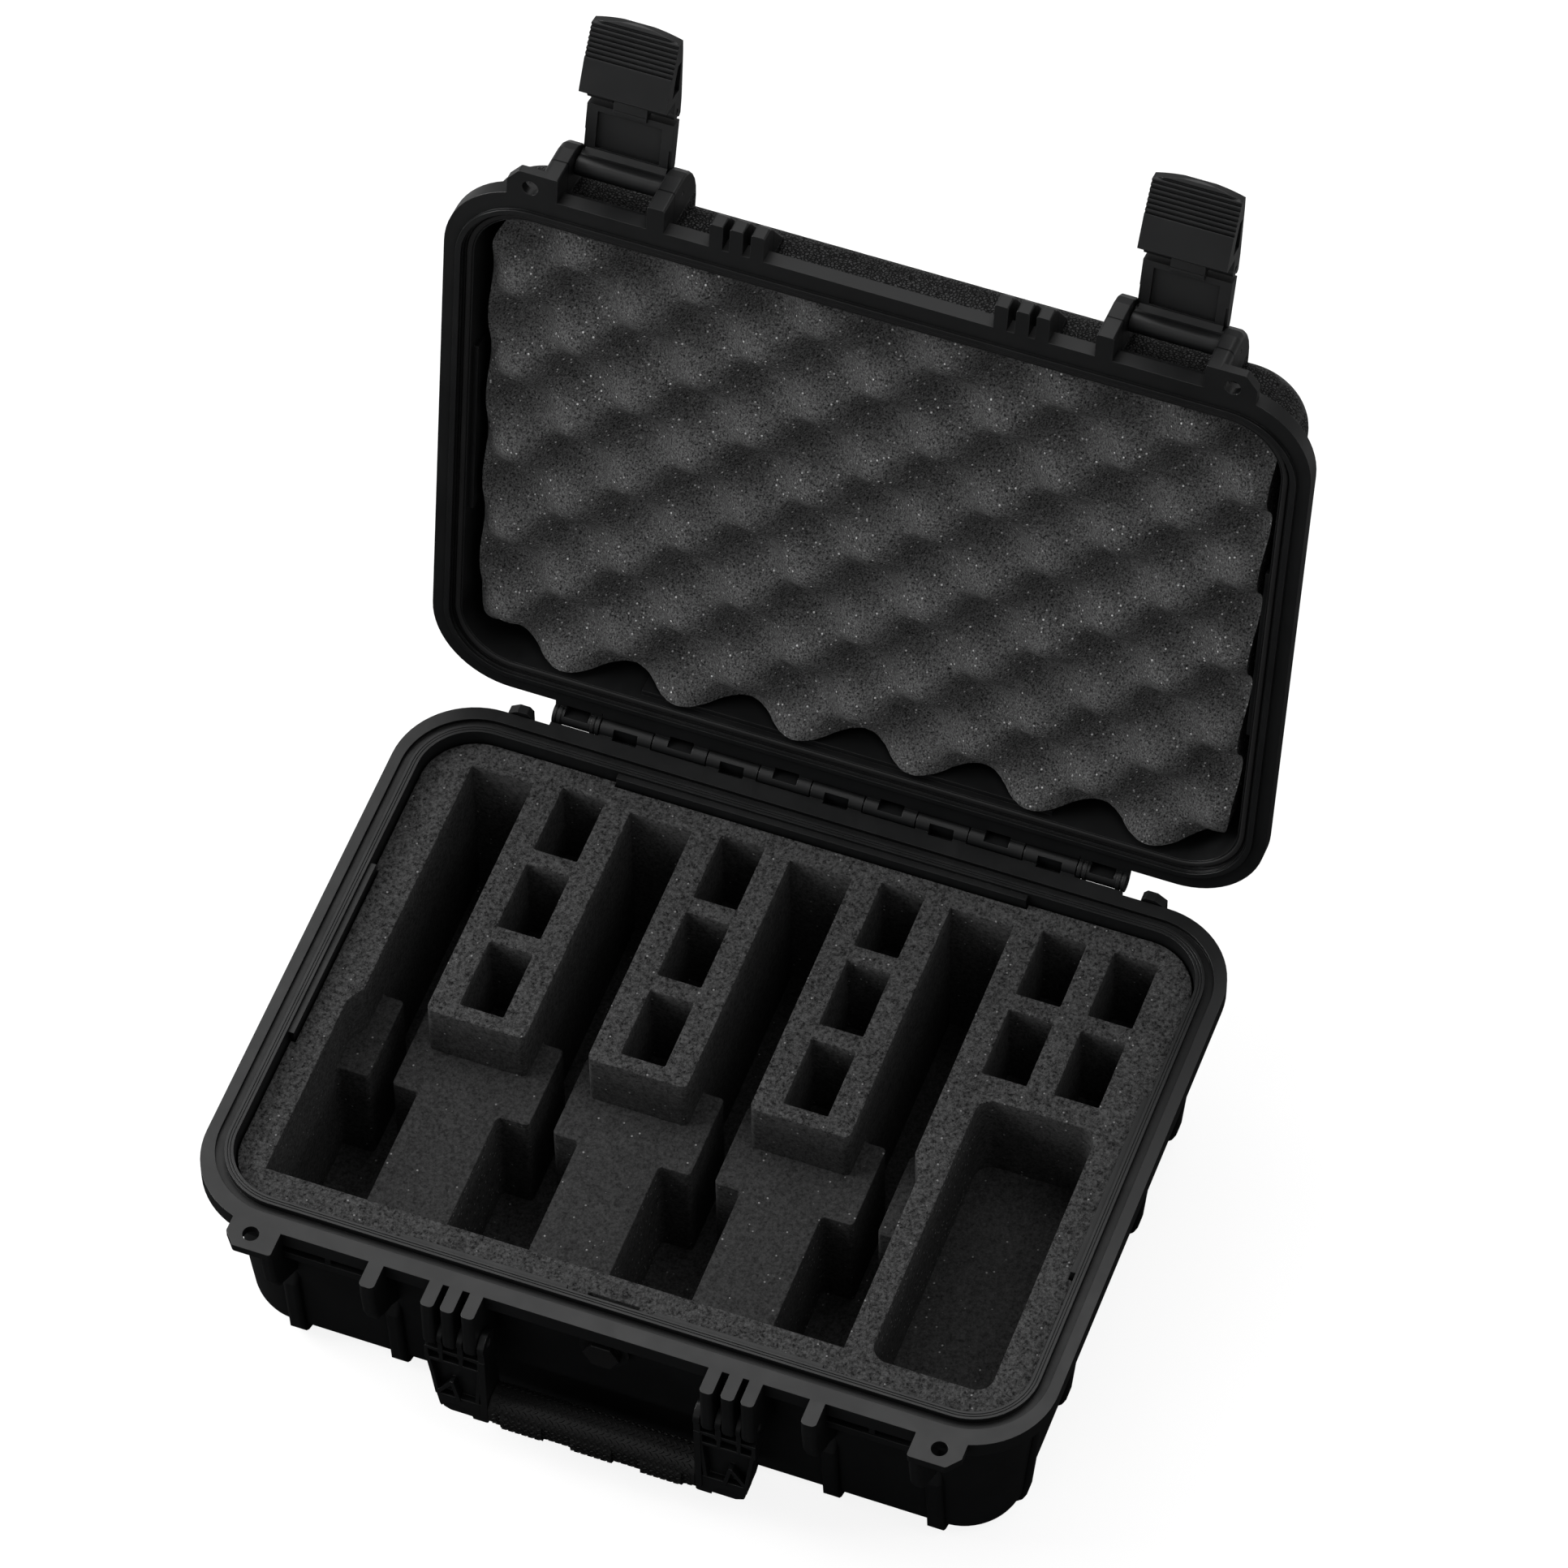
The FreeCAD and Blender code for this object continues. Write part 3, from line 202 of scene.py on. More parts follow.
# ---------------------------------------------------------------- materials
def plastic(name, base, rough, spec, grain=0.55, grain_depth=0.012, leather=None, edge_highlight=0.35, soft=0.35,
            polish=0.45):
    """Moulded plastic: fine spark-eroded grain, slow tone drift, hairline scuffs, edges a little polished, with a
    painted highlight lightening the edges' colour and painted shade darkening grooves and seams.
    """
    g = Graph(name)
    p = g.coords_mm()
    drift = g.noise(p, 0.018, 3.0, 0.55, seed=1.3)
    smudge = g.noise(p, 0.06, 4.0, 0.6, dist=0.6, seed=4.1)
    fine = g.noise(p, 1.6, 3.0, 0.6, seed=2.0)
    specks = g.noise(p, 4.2, 2.0, 0.5, seed=9.0)
    stretch = g.vmath("MULTIPLY", p, (0.11, 0.9, 0.9))
    scr = g.noise(stretch, 0.8, 5.0, 0.72, dist=1.2, seed=6.0)
    scratch = g.ramp(scr, 0.735, 0.76)
    se = g.soft_edge(soft * MM)
    em = g.edge_mask(se)
    h = g.math("ADD", g.math("MULTIPLY", fine, grain), g.math("MULTIPLY", specks, 0.35))
    nrm = g.bump(h, 0.5, grain_depth * MM * 2.2, se)
    lm = None
    grain_shade_and_seam = 1.0
    if leather is not None:
        c, mask, seam = leather(g, p)
        warp = g.vmath("ADD", c, g.vmath("SCALE", g.noise(c, 0.5, 2.0, 0.5, out=1, seed=3.0), scale=1.1))
        cells = g.voronoi(warp, 0.62, feature="DISTANCE_TO_EDGE", randomness=0.95)
        pebble = g.ramp(cells, 0.02, 0.26, smooth=True)
        wrinkle = g.noise(warp, 0.9, 3.0, 0.55, dist=0.8, seed=8.0)
        lh = g.math("MULTIPLY", g.math("ADD", pebble, g.math("MULTIPLY", wrinkle, 0.7)), mask)
        nrm = g.bump(lh, 1.0, 0.50 * MM, nrm)
        lm = mask
        # painted shade and highlight of the grain: colour and specular darker in the grooves between pebbles and
        # wrinkles, lighter on pebble tops; the seam line below is a dark joint
        grain_shade_and_seam = g.mixf(mask, 1.0, g.math("MULTIPLY", g.ramp(pebble, 0.0, 1.0, 0.22, 1.35), g.ramp(wrinkle, 0.35, 0.65, 0.65, 1.3)))
        grain_shade_and_seam = g.math("MULTIPLY", grain_shade_and_seam, g.math("SUBTRACT", 1.0, g.math("MULTIPLY", seam, 0.75)))
    # painted shade: colour and specular darkened in grooves and seams by ambient occlusion
    groove_shade = g.paint_crevice_shade(4.0 * MM)
    tone = g.ramp(drift, 0.3, 0.7, 0.86, 1.14)
    # painted highlight: colour lightened along the rounded edges
    col = g.mix(g.math("MULTIPLY", em, edge_highlight), base, tuple(min(1.0, c * 2.6 + 0.006) for c in base))
    col = g.mix(g.math("MULTIPLY", scratch, 0.30), col, tuple(c * 2.2 + 0.004 for c in base))
    n = g.node("ShaderNodeMix", data_type="RGBA", blend_type="MULTIPLY")
    g.put(n.inputs[0], 1.0)
    g.put(n.inputs[6], col)
    comb = g.node("ShaderNodeCombineXYZ")
    for i in range(3):
        g.put(comb.inputs[i], g.math("MULTIPLY", g.math("MULTIPLY", tone, grain_shade_and_seam), groove_shade))
    g.put(n.inputs[7], comb.outputs[0])
    sp = g.math("MULTIPLY", g.math("ADD", spec, g.math("MULTIPLY", em, polish)), g.math("MULTIPLY", grain_shade_and_seam, groove_shade))
    r = g.math("ADD", g.ramp(smudge, 0.3, 0.7, rough - 0.05, rough + 0.06), g.ramp(specks, 0.3, 0.7, -0.02, 0.02))
    r = g.math("SUBTRACT", r, g.math("MULTIPLY", em, 0.12))
    if lm is not None:
        r = g.math("ADD", r, g.math("MULTIPLY", lm, 0.06))
    g.principled(n.outputs[2], r, sp, nrm)
    return g.m


def lid_leather(g, p):
    """Grained skin on the outside walls of the lid above its smooth shoulder, and on the outside of its top."""
    c = closed_coords(g, p)
    s = g.node("ShaderNodeSeparateXYZ")
    g.put(s.inputs[0], c)
    x, y, z = s.outputs
    above = g.ramp(z, 111.0 + 13.3, 111.0 + 13.9)
    ax = g.math("ABSOLUTE", x)
    ay = g.math("ABSOLUTE", y)
    skin_x = g.ramp(ax, 190.6, 191.4)
    skin_y = g.ramp(ay, 138.8, 139.6)
    top = g.ramp(z, 111.0 + 42.0, 111.0 + 42.6)
    corner = g.ramp(g.math("ADD", g.math("SUBTRACT", ax, 160.0), g.math("SUBTRACT", ay, 107.0)), 50.0, 52.0)
    outer = g.math("MAXIMUM", g.math("MAXIMUM", skin_x, skin_y), g.math("MAXIMUM", top, corner))
    # ribs, ears and knuckles stay smooth: they stand proud of the wall
    proud = g.ramp(ay, 147.4, 146.6)
    proudx = g.ramp(ax, 197.2, 196.6)
    seam = g.math("MULTIPLY", outer, g.ramp(g.math("ABSOLUTE", g.math("SUBTRACT", z, 111.0 + 13.4)), 0.55, 0.20))
    return c, g.math("MULTIPLY", g.math("MULTIPLY", above, outer), g.math("MULTIPLY", proud, proudx)), seam


def foam_cut(name, base, mottle=0.30, speck=0.5):
    """Closed-cell foam, knife cut: pale and dark cells a millimetre or two across, tiny pits, few bright cells."""
    g = Graph(name)
    p = g.coords_mm()
    s = g.node("ShaderNodeSeparateXYZ")
    gn = g.node("ShaderNodeNewGeometry")
    g.put(s.inputs[0], gn.outputs["Normal"])
    sp = g.node("ShaderNodeSeparateXYZ")
    g.put(sp.inputs[0], p)
    skin = g.ramp(sp.outputs[2], 103.0, 104.2)
    cells = g.noise(p, 0.62, 4.0, 0.66, dist=0.35, seed=1.0)
    fine = g.noise(p, 1.5, 3.0, 0.65, seed=5.0)
    slow = g.noise(p, 0.035, 2.0, 0.5, seed=11.0)
    vor = g.voronoi(p, 0.95, randomness=1.0)
    dotd = g.voronoi(p, 0.34)
    sc = g.node("ShaderNodeSeparateColor")
    g.put(sc.inputs[0], g.voronoi(p, 0.34, out="Color"))
    dot = g.math("MULTIPLY", g.ramp(dotd, 0.20, 0.12), g.ramp(sc.outputs[0], 0.86, 0.87))
    amp = g.mixf(skin, mottle * 0.62, mottle)
    m = g.math("ADD", g.ramp(cells, 0.36, 0.64, -1.0, 1.0), g.math("MULTIPLY", g.ramp(fine, 0.32, 0.68, -1.0, 1.0), 0.60))
    k = g.math("MAXIMUM", g.math("ADD", 1.0, g.math("MULTIPLY", m, amp)), 0.15)
    k = g.math("MULTIPLY", k, g.ramp(slow, 0.3, 0.7, 0.94, 1.06))
    # painted shade: below the top skin, walls are darkened to 0.92 and up-facing shelves to 0.74, for the shade down
    # in the pockets
    flat = g.ramp(s.outputs[2], 0.4, 0.8)
    k = g.math("MULTIPLY", k, g.mixf(skin, g.mixf(flat, 0.92, 0.74), 1.0))
    rgb = g.vmath("SCALE", base, scale=k)
    col = g.mix(g.math("MULTIPLY", dot, speck), rgb, (0.26, 0.26, 0.26))
    se = g.soft_edge(0.9 * MM)
    h = g.math("ADD", g.math("MULTIPLY", cells, 0.9), g.math("MULTIPLY", fine, 0.5))
    h = g.math("ADD", h, g.math("MULTIPLY", g.ramp(vor, 0.0, 0.35), 0.3))
    nrm = g.bump(h, g.mixf(skin, 0.45, 0.9), 0.55 * MM, se)
    g.principled(col, 0.96, 0.06, nrm)
    return g.m


def foam_crate(name, base):
    """Open-cell convoluted foam: fine dark pores all over and scattered bright cells."""
    g = Graph(name)
    p = g.coords_mm()
    pores = g.noise(p, 1.05, 3.0, 0.70, dist=0.2, seed=2.0)
    fine = g.noise(p, 2.2, 2.0, 0.6, seed=3.0)
    slow = g.noise(p, 0.03, 3.0, 0.5, seed=7.0)
    d1 = g.voronoi(p, 0.42)
    c1 = g.node("ShaderNodeSeparateColor")
    g.put(c1.inputs[0], g.voronoi(p, 0.42, out="Color"))
    dots = g.math("MULTIPLY", g.ramp(d1, 0.24, 0.15), g.ramp(c1.outputs[0], 0.62, 0.63))
    level = g.ramp(c1.outputs[1], 0.0, 1.0, 0.15, 1.0)
    level = g.math("MULTIPLY", level, level)
    q = g.vmath("ADD", p, (31.0, 17.0, 5.0))
    d2 = g.voronoi(q, 0.62)
    c2 = g.node("ShaderNodeSeparateColor")
    g.put(c2.inputs[0], g.voronoi(q, 0.62, out="Color"))
    small = g.math("MULTIPLY", g.ramp(d2, 0.30, 0.20), g.ramp(c2.outputs[0], 0.72, 0.73))
    pit = g.math("MULTIPLY", g.ramp(g.voronoi(g.vmath("ADD", p, (7.0, 3.0, 11.0)), 0.55), 0.34, 0.22),
                 g.ramp(pores, 0.55, 0.45))
    k = g.math("ADD", 1.0, g.ramp(pores, 0.36, 0.62, -0.78, 0.46))
    k = g.math("ADD", k, g.ramp(fine, 0.32, 0.68, -0.30, 0.30))
    k = g.math("MULTIPLY", k, g.math("SUBTRACT", 1.0, g.math("MULTIPLY", pit, 0.55)))
    k = g.math("MAXIMUM", g.math("MULTIPLY", k, g.ramp(slow, 0.3, 0.7, 0.93, 1.07)), 0.10)
    rgb = g.vmath("SCALE", base, scale=k)
    col = g.mix(g.math("MULTIPLY", g.math("MULTIPLY", dots, level), 0.90), rgb, (0.55, 0.55, 0.55))
    col = g.mix(g.math("MULTIPLY", small, 0.22), col, (0.22, 0.22, 0.22))
    h = g.math("ADD", pores, g.math("MULTIPLY", fine, 0.5))
    nrm = g.bump(h, 0.9, 0.7 * MM)
    g.principled(col, 0.97, 0.05, nrm)
    return g.m


def rubber(name, base, rough=0.72):
    g = Graph(name)
    p = g.coords_mm()
    fine = g.noise(p, 2.4, 3.0, 0.6, seed=2.0)
    slow = g.noise(p, 0.05, 3.0, 0.5, seed=4.0)
    dust = g.ramp(g.noise(p, 0.35, 5.0, 0.7, seed=8.0), 0.58, 0.78, 0.0, 0.22)
    rgb = g.vmath("SCALE", base, scale=g.ramp(slow, 0.3, 0.7, 0.88, 1.14))
    col = g.mix(dust, rgb, tuple(c * 2.0 + 0.004 for c in base))
    se = g.soft_edge(0.3 * MM)
    nrm = g.bump(fine, 0.5, 0.03 * MM, se)
    # painted shade: colour and specular darkened in creases and around the tread by ambient occlusion
    groove_shade = g.paint_crevice_shade(1.6 * MM, 0.35, 0.95, 0.25)
    col = g.vmath("SCALE", col, scale=groove_shade)
    g.principled(col, g.ramp(slow, 0.3, 0.7, rough - 0.04, rough + 0.05), g.math("MULTIPLY", groove_shade, 0.32), nrm)
    return g.m


def steel(name):
    g = Graph(name)
    p = g.coords_mm()
    q = g.vmath("MULTIPLY", p, (0.15, 4.0, 4.0))
    lines = g.noise(q, 1.0, 4.0, 0.6, seed=1.0)
    spots = g.noise(p, 0.7, 4.0, 0.6, seed=3.0)
    col = g.mix(g.ramp(spots, 0.45, 0.75), (0.33, 0.33, 0.34), (0.19, 0.185, 0.18))
    nrm = g.bump(lines, 0.25, 0.02 * MM, g.soft_edge(0.2 * MM))
    g.principled(col, g.ramp(lines, 0.3, 0.7, 0.26, 0.42), 0.5, nrm, metal=1.0)
    return g.m


def membrane(name):
    g = Graph(name)
    p = g.coords_mm()
    fib = g.noise(g.vmath("MULTIPLY", p, (3.0, 1.0, 0.8)), 1.8, 4.0, 0.7, dist=1.0)
    rgb = g.vmath("SCALE", (0.72, 0.72, 0.70), scale=g.ramp(fib, 0.3, 0.7, 0.82, 1.05))
    g.principled(rgb, 0.8, 0.2, g.bump(fib, 0.5, 0.05 * MM))
    return g.m


SHELL = (0.0031, 0.0033, 0.0035)
MATS = {
    "shell": plastic("shell_plastic", SHELL, 0.44, 0.36),
    "latch": plastic("latch_plastic", (0.0045, 0.0047, 0.0049), 0.40, 0.42, grain_depth=0.008, soft=0.28),
    "handle": plastic("handle_plastic", (0.0036, 0.0038, 0.0040), 0.36, 0.42, grain_depth=0.008, soft=0.6),
    "grip": rubber("grip_rubber", (0.0038, 0.0038, 0.0038), 0.62),
    "foam": foam_cut("cut_foam", (0.0355, 0.0355, 0.0357), mottle=0.72, speck=0.65),
    "lid_foam": foam_crate("convoluted_foam", (0.066, 0.066, 0.0663)),
    "seal": rubber("seal_rubber", (0.0060, 0.0060, 0.0062), 0.6),
    "steel": steel("pin_steel"),
    "vent": plastic("vent_plastic", (0.0040, 0.0040, 0.0042), 0.42, 0.36, soft=0.3),
    "membrane": membrane("vent_membrane_sheet"),
}
LID_MAT = plastic("lid_plastic", SHELL, 0.44, 0.36, leather=lid_leather)

for name, ob in nodes_cad.items():
    m = LID_MAT if name == "lid_shell" else MATS[slot_of[name]]
    ob.data.materials.clear()
    ob.data.materials.append(m)


# ---------------------------------------------------------------- mesh helpers
def add_object(name, mesh, material, body):
    ob = bpy.data.objects.new(name, mesh)
    scene.collection.objects.link(ob)
    mesh.materials.clear()
    mesh.materials.append(material)
    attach(ob, body)
    return ob


def smooth_by_angle(mesh, deg):
    bm = bmesh.new()
    bm.from_mesh(mesh)
    lim = math.radians(deg)
    for f in bm.faces:
        f.smooth = True
    for e in bm.edges:
        e.smooth = not (len(e.link_faces) == 2 and e.calc_face_angle(0.0) > lim)
    bm.to_mesh(mesh)
    bm.free()


def closed_to_open(co):
    """Points drawn with the lid shut, in metres in the row frame, swung to the rest pose."""
    c, s = math.cos(-OPEN), math.sin(-OPEN)
    out = co.copy()
    y, z = co[:, 1] - HINGE.y, co[:, 2] - HINGE.z
    out[:, 1] = HINGE.y + c * y - s * z
    out[:, 2] = HINGE.z + s * y + c * z
    return out


def open_to_closed(co):
    c, s = math.cos(OPEN), math.sin(OPEN)
    out = co.copy()
    y, z = co[:, 1] - HINGE.y, co[:, 2] - HINGE.z
    out[:, 1] = HINGE.y + c * y - s * z
    out[:, 2] = HINGE.z + s * y + c * z
    return out


# ---------------------------------------------------------------- cut foam in the base
def foam_layer(node, name, exposed):
    """The layer's own shape with its exposed cut edges eased, as a knife leaves them."""
    src = nodes_cad[node]
    bm = bmesh.new()
    bm.from_mesh(src.data)
    bmesh.ops.remove_doubles(bm, verts=bm.verts, dist=0.00002)
    bmesh.ops.dissolve_limit(bm, angle_limit=math.radians(1.0), verts=bm.verts, edges=bm.edges, delimit=set())
    bm.normal_update()
    picked = []
    for e in bm.edges:
        if len(e.link_faces) != 2 or e.calc_face_angle(0.0) < math.radians(50):
            continue
        a, b = e.verts[0].co, e.verts[1].co
        if exposed((a + b) / 2, a, b):
            picked.append(e)
    if picked:
        bmesh.ops.bevel(bm, geom=picked, offset=0.0007, offset_type="OFFSET", segments=3, profile=0.5,
                        affect="EDGES", clamp_overlap=True)
    bmesh.ops.triangulate(bm, faces=[f for f in bm.faces if len(f.verts) > 4])
    me = bpy.data.meshes.new(name)
    bm.to_mesh(me)
    bm.free()
    smooth_by_angle(me, 38)
    ob = add_object(name, me, MATS["foam"], "base")
    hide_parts(node)
    return ob


lo_top, hi_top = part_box("foam_top_layer")
lo_sh, hi_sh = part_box("foam_shelf_layer")
lo_lw, hi_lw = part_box("foam_lower_layer")


def at_top(hi):
    return lambda m, a, b: a.z > hi.z - 2e-5 and b.z > hi.z - 2e-5


def shelf_exposed(m, a, b):
    """Cut edges on the shelf level that lie inside the open tray, clear of the walls above."""
    if not (a.z > hi_sh.z - 2e-5 and b.z > hi_sh.z - 2e-5):
        return False
    return -0.1205 < m.y < -0.0145 and -0.1735 < m.x < 0.1045 and max(a.y, b.y) < -0.0140 and min(a.y, b.y) > -0.1199


foam_layer("foam_top_layer", "foam_top", at_top(hi_top))
foam_layer("foam_shelf_layer", "foam_shelf", shelf_exposed)
foam_layer("foam_lower_layer", "foam_lower", lambda m, a, b: False)
foam_layer("foam_base_pad", "foam_pad", at_top(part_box("foam_base_pad")[1]))


# ---------------------------------------------------------------- convoluted foam in the lid
def egg_crate():
    src = nodes_cad["lid_foam"]
    co = np.array([v.co for v in src.data.vertices], float)
    cc = open_to_closed(co)
    lo, hi = cc.min(0) * 1000.0, cc.max(0) * 1000.0
    RIM = 111.0
    X, Y, R = 185.6, 133.6, 26.0
    X = min(X, hi[0])
    back = hi[2]                               # flat side, against the lid
    px, py = 28.95, 25.5                       # half periods of the bumps
    x0, y0 = -140.2, 134.0
    nx, ny = 300, 216
    gx = np.linspace(-X, X, nx + 1)
    gy = np.linspace(-Y, Y, ny + 1)
    GX, GY = np.meshgrid(gx, gy, indexing="ij")
    # pull the grid's corners round the corner arcs
    cx, cy = X - R, Y - R
    ux, uy = np.maximum(np.abs(GX) - cx, 0), np.maximum(np.abs(GY) - cy, 0)
    m = np.maximum(ux, uy)
    L = np.hypot(ux, uy)
    k = np.where((ux > 0) & (uy > 0) & (L > 0), m / np.maximum(L, 1e-9), 1.0)
    PX = np.sign(GX) * (np.minimum(np.abs(GX), cx) + ux * k)
    PY = np.sign(GY) * (np.minimum(np.abs(GY), cy) + uy * k)
    s = np.cos(np.pi * (PX - x0) / px) * np.cos(np.pi * (PY - y0) / py)
    s = np.sign(s) * np.abs(s) ** 0.90
    # slow unevenness of a cut sheet
    w = (np.sin(PX * 0.031 + 1.0) * np.sin(PY * 0.043 + 2.0) + 0.6 * np.sin(PX * 0.083 + PY * 0.061)) * 0.35
    H = RIM + 11.0 - 9.9 * s + w
    rng = np.random.default_rng(11)
    rough = rng.normal(0, 0.10, H.shape)
    H = H + rough
    H = np.maximum(H, RIM + 0.8)
    idx = np.arange((nx + 1) * (ny + 1)).reshape(nx + 1, ny + 1)
    verts = [np.stack([PX.ravel(), PY.ravel(), H.ravel()], 1)]
    a, b, c, d = idx[:-1, :-1], idx[1:, :-1], idx[1:, 1:], idx[:-1, 1:]
    # the bumps face the inside of the case, -Z with the lid shut
    faces = [np.stack([a, d, c, b], -1).reshape(-1, 4)]
    loop = list(idx[:, 0]) + list(idx[-1, 1:]) + list(idx[-2::-1, -1]) + list(idx[0, -2:0:-1])
    loop = np.array(loop)
    n = len(loop)
    base = verts[0][loop]
    out = base[:, :2].copy()
    inner = np.stack([np.clip(out[:, 0], -cx, cx), np.clip(out[:, 1], -cy, cy)], 1)
    nrm = out - inner
    nrm /= np.maximum(np.linalg.norm(nrm, axis=1, keepdims=True), 1e-9)
    prev = loop
    count = len(verts[0])
    rings = 9
    for r in range(1, rings + 1):
        t = r / rings
        z = base[:, 2] + (back - base[:, 2]) * t
        inset = 0.0 if z.mean() < back - 12 else 0.0
        dz = np.clip((z - (back - 9.0)) / 9.0, 0, 1)
        inset = 8.0 * (1 - np.sqrt(np.maximum(0, 1 - dz ** 2)))
        wob = 0.25 * np.sin(base[:, 0] * 0.21 + base[:, 1] * 0.17 + t * 5.0) * math.sin(math.pi * t)
        p = out - nrm * (inset + 0.25 - wob)[:, None]
        verts.append(np.column_stack([p, z]))
        cur = np.arange(count, count + n)
        count += n
        faces.append(np.stack([prev, np.roll(prev, -1), np.roll(cur, -1), cur], -1))
        prev = cur
    V = np.concatenate(verts) * MM
    V = closed_to_open(V)
    F = np.concatenate(faces)
    me = bpy.data.meshes.new("lid_foam_sheet")
    me.from_pydata(V.tolist(), [], F.tolist() + [list(prev[::-1])])
    me.validate()
    bm = bmesh.new()
    bm.from_mesh(me)
    big = [f for f in bm.faces if len(f.verts) > 4]
    bmesh.ops.triangulate(bm, faces=big)
    bmesh.ops.recalc_face_normals(bm, faces=bm.faces)
    bm.to_mesh(me)
    bm.free()
    smooth_by_angle(me, 50)
    ob = add_object("lid_foam_sheet", me, MATS["lid_foam"], "lid")
    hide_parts("lid_foam")
    return ob


egg_crate()


# ---------------------------------------------------------------- tread on the hand grip
def grip_tread():
    src = nodes_cad["handle_grip"]
    lo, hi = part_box("handle_grip")
    bvh = BVHTree.FromObject(src, bpy.context.evaluated_depsgraph_get())
    cy, cz = (lo.y + hi.y) / 2, (lo.z + hi.z) / 2
    bm = bmesh.new()
    rows, cols = 30, 30
    dx = (hi.x - lo.x - 0.004) / cols
    for i in range(rows):
        ang = 2 * math.pi * (i + 0.5) / rows
        for j in range(cols):
            x = lo.x + 0.002 + dx * (j + (0.25 if i % 2 else 0.75))
            d = Vector((0, math.cos(ang), math.sin(ang)))
            o = Vector((x, cy, cz)) + d * 0.03
            hit, nr, _, _ = bvh.ray_cast(o, -d)
            if hit is None or nr is None:
                continue
            if abs(nr.x) > 0.3:
                continue
            t = nr.cross(Vector((1, 0, 0))).normalized()
            sgn = 1 if i % 2 else -1
            u = (Vector((1, 0, 0)) * 0.80 + t * 0.60 * sgn).normalized()
            v = nr.cross(u).normalized()
            L, W, Hh = 0.00135, 0.00044, 0.00045
            pts = []
            for zz, k in ((-0.0001, 1.0), (Hh, 0.62)):
                for a, b in ((-1, 0), (-0.55, -1), (0.55, -1), (1, 0), (0.55, 1), (-0.55, 1)):
                    pts.append(bm.verts.new(hit + u * (a * L * (0.9 + 0.1 * k)) + v * (b * W * k) + nr * zz))
            bm.faces.new(pts[6:12])
            bm.faces.new(list(reversed(pts[0:6])))
            for q in range(6):
                r = (q + 1) % 6
                bm.faces.new((pts[q], pts[r], pts[6 + r], pts[6 + q]))
    bmesh.ops.recalc_face_normals(bm, faces=bm.faces)
    me = bpy.data.meshes.new("grip_tread")
    bm.to_mesh(me)
    bm.free()
    return add_object("grip_tread", me, MATS["grip"], "handle")


grip_tread()


# ---------------------------------------------------------------- floor, light, camera
def floor_material():
    """Pale sweep that stays white to the eye; to reflections and indirect light it is painted dark close to the
    case, a painted shade, and brighter further out.
    """
    g = Graph("studio_floor")
    lp = g.node("ShaderNodeLightPath")
    p = g.coords_mm()
    n = g.noise(p, 0.004, 3.0, 0.5)
    k = g.ramp(n, 0.3, 0.7, 0.985, 1.0)
    s = g.node("ShaderNodeSeparateXYZ")
    g.put(s.inputs[0], p)
    x, y = s.outputs[0], s.outputs[1]
    d = g.math("SQRT", g.math("ADD", g.math("MULTIPLY", x, x), g.math("MULTIPLY", y, y)))
    # painted shade: for non-camera rays the floor is near black close to the case, lighter further out
    far = g.ramp(d, 450.0, 1300.0, FLOOR_NEAR_SHADE, FLOOR_FAR, smooth=True)
    reflected_floor_shade = g.vmath("SCALE", (1.0, 1.0, 1.0), scale=far)
    seen = g.vmath("SCALE", (0.20, 0.20, 0.20), scale=k)
    col = g.mix(lp.outputs["Is Camera Ray"], reflected_floor_shade, seen)
    n = g.principled(col, 0.9, 0.0)
    g.put(n.inputs["Emission Color"], (1.0, 1.0, 1.0, 1.0))
    g.put(n.inputs["Emission Strength"], g.math("MULTIPLY", lp.outputs["Is Camera Ray"], 0.86))
    return g.m


# painted shade of the floor in reflections: near black by the case, lighter far off
FLOOR_NEAR_SHADE, FLOOR_FAR = 0.02, 0.45
me = bpy.data.meshes.new("floor")
S = 12.0
me.from_pydata([(-S, -S, -0.0004), (S, -S, -0.0004), (S, S, -0.0004), (-S, S, -0.0004)], [], [(0, 1, 2, 3)])
floor = bpy.data.objects.new("floor", me)
scene.collection.objects.link(floor)
me.materials.append(floor_material())


def area(name, loc, target, size, watts, shape="RECTANGLE", size_y=None, spread=None):
    l = bpy.data.lights.new(name, "AREA")
    l.shape = shape
    l.size = size
    if size_y is not None:
        l.size_y = size_y
    l.energy = watts
    if spread is not None:
        l.spread = math.radians(spread)
    o = bpy.data.objects.new(name, l)
    scene.collection.objects.link(o)
    o.location = loc
    o.rotation_euler = (Vector(target) - Vector(loc)).to_track_quat("-Z", "Y").to_euler()
    return o


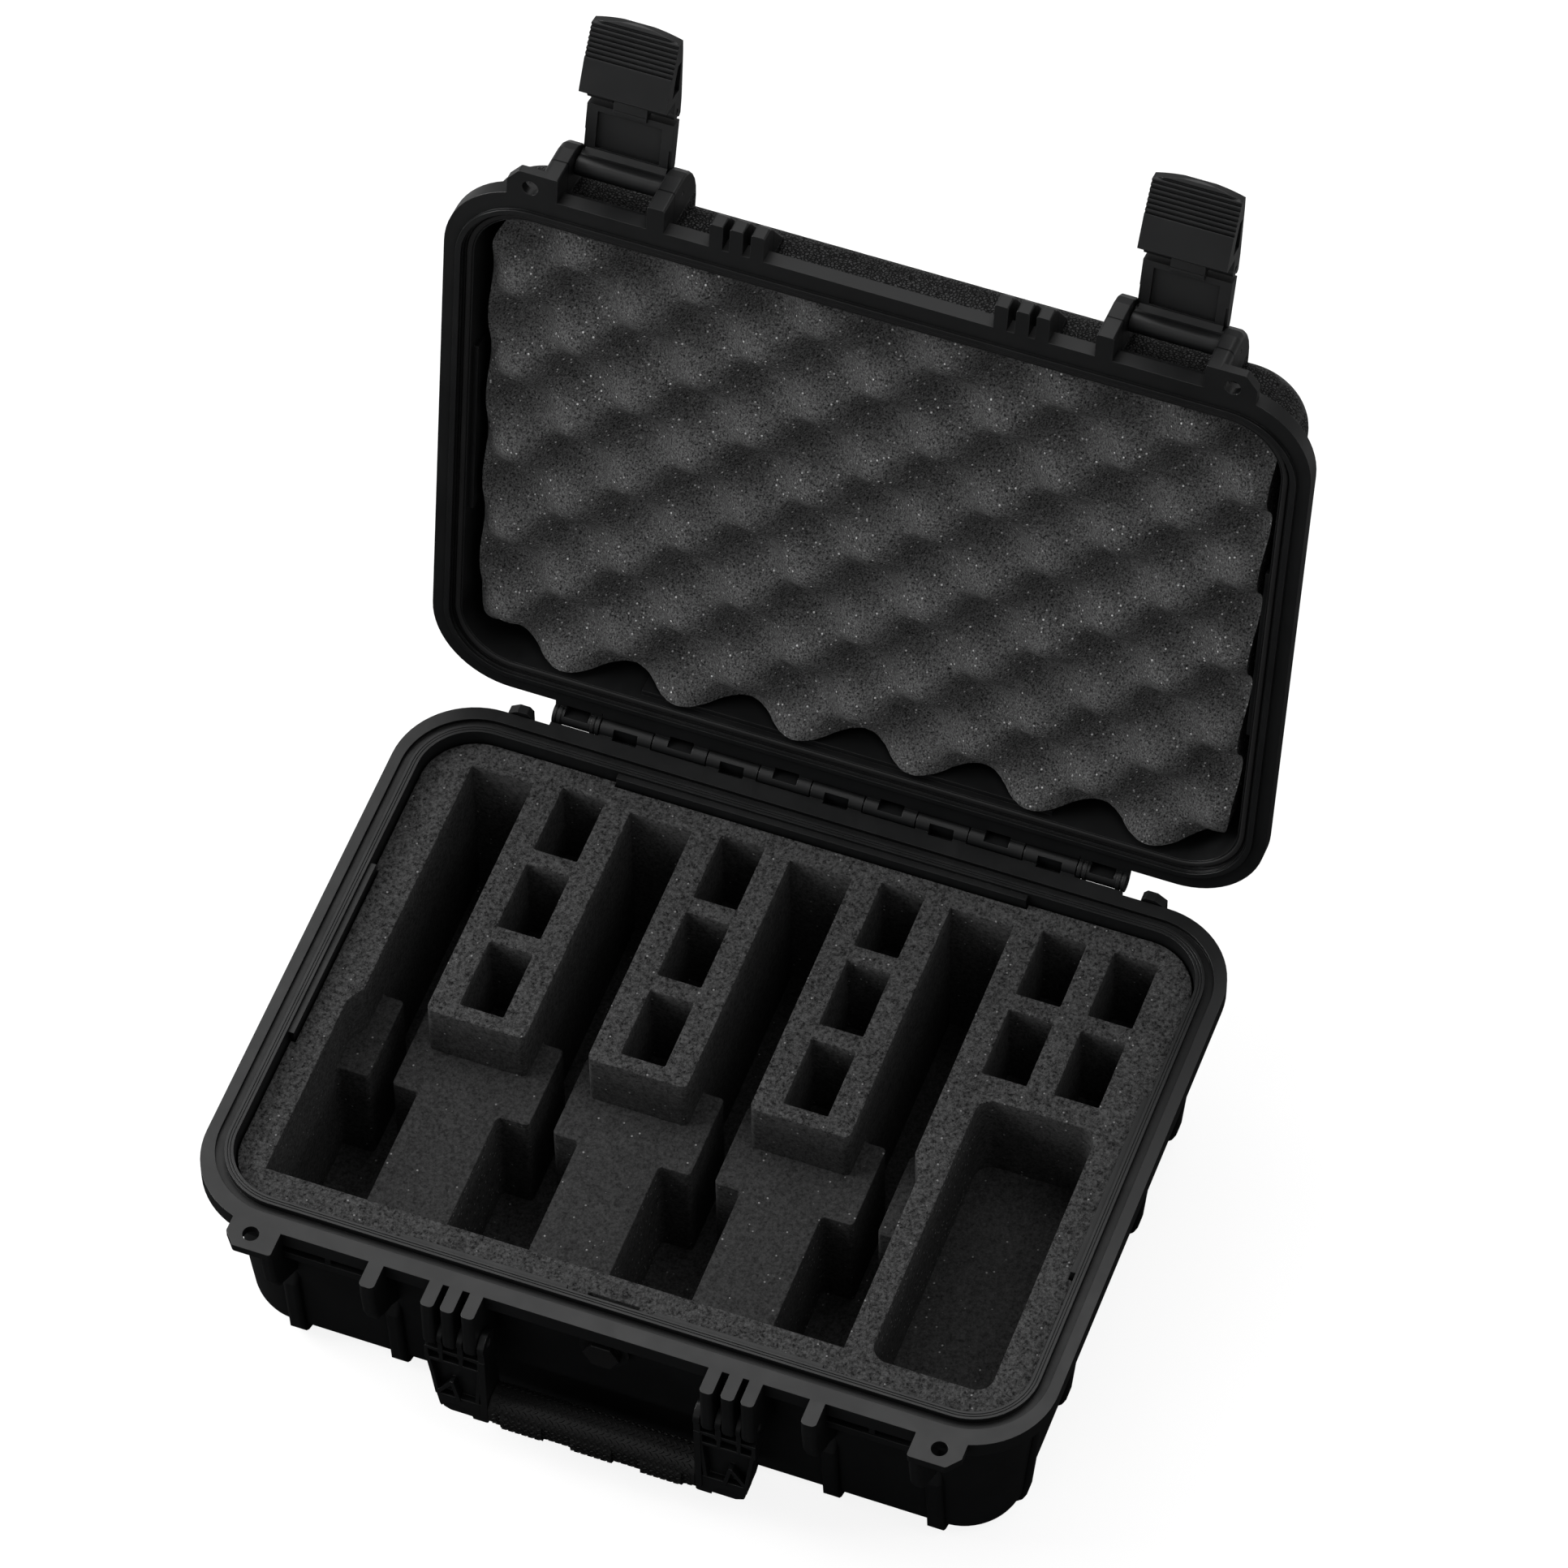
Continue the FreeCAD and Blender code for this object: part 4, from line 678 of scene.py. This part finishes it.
area("back_soft", (-0.5, 1.5, 3.0), (0, 0, 0.1), 3.2, 62.0, size_y=2.6)
area("top_front", (-0.1, -1.3, 2.7), (0, 0.1, 0.15), 1.6, 1.5, size_y=1.2)
area("side_left", (-2.2, -0.3, 1.6), (-0.05, 0.05, 0.15), 1.6, 72.0, size_y=1.6)
area("side_right", (1.5, -0.2, 2.9), (0, 0.05, 0.15), 1.2, 17.0, size_y=1.2)
area("side_right_low", (2.7, 0.1, 0.75), (0, 0.1, 0.25), 1.4, 7.0, size_y=0.6)
low = area("front_low", (-0.9, -2.9, 0.42), (0, 0.2, 0.25), 2.2, 35.0, size_y=0.5)
low.visible_glossy = False

w = bpy.data.worlds.new("studio")
scene.world = w
w.use_nodes = True
bg = w.node_tree.nodes["Background"]
bg.inputs[0].default_value = (1.0, 1.0, 1.0, 1.0)
wt = w.node_tree
seen_direct = wt.nodes.new("ShaderNodeLightPath")
lift = wt.nodes.new("ShaderNodeMath")
lift.operation = "MULTIPLY_ADD"
wt.links.new(seen_direct.outputs["Is Camera Ray"], lift.inputs[0])
lift.inputs[1].default_value = 0.70                # the backdrop itself looks white, as the floor does
lift.inputs[2].default_value = 0.28
wt.links.new(lift.outputs[0], bg.inputs[1])

cam = bpy.data.cameras.new("camera")
cam.sensor_width = 36.0
cam.lens = 206.51
cam.clip_start = 0.05
cam.clip_end = 100.0
cam_ob = bpy.data.objects.new("camera", cam)
scene.collection.objects.link(cam_ob)
right = Vector((0.9370617, 0.349067, -0.0082222))
up = Vector((-0.27819547, 0.76062521, 0.58656336))
back = Vector((0.21100392, -0.54735868, 0.8098616))
eye = Vector((0.859318, -2.139910, 3.511344))
cam_ob.matrix_world = Matrix(((right.x, up.x, back.x, eye.x), (right.y, up.y, back.y, eye.y),
                              (right.z, up.z, back.z, eye.z), (0, 0, 0, 1)))
scene.camera = cam_ob
scene.view_settings.view_transform = "Standard"
scene.view_settings.look = "None"
scene.view_settings.exposure = 0.0
scene.view_settings.gamma = 1.0
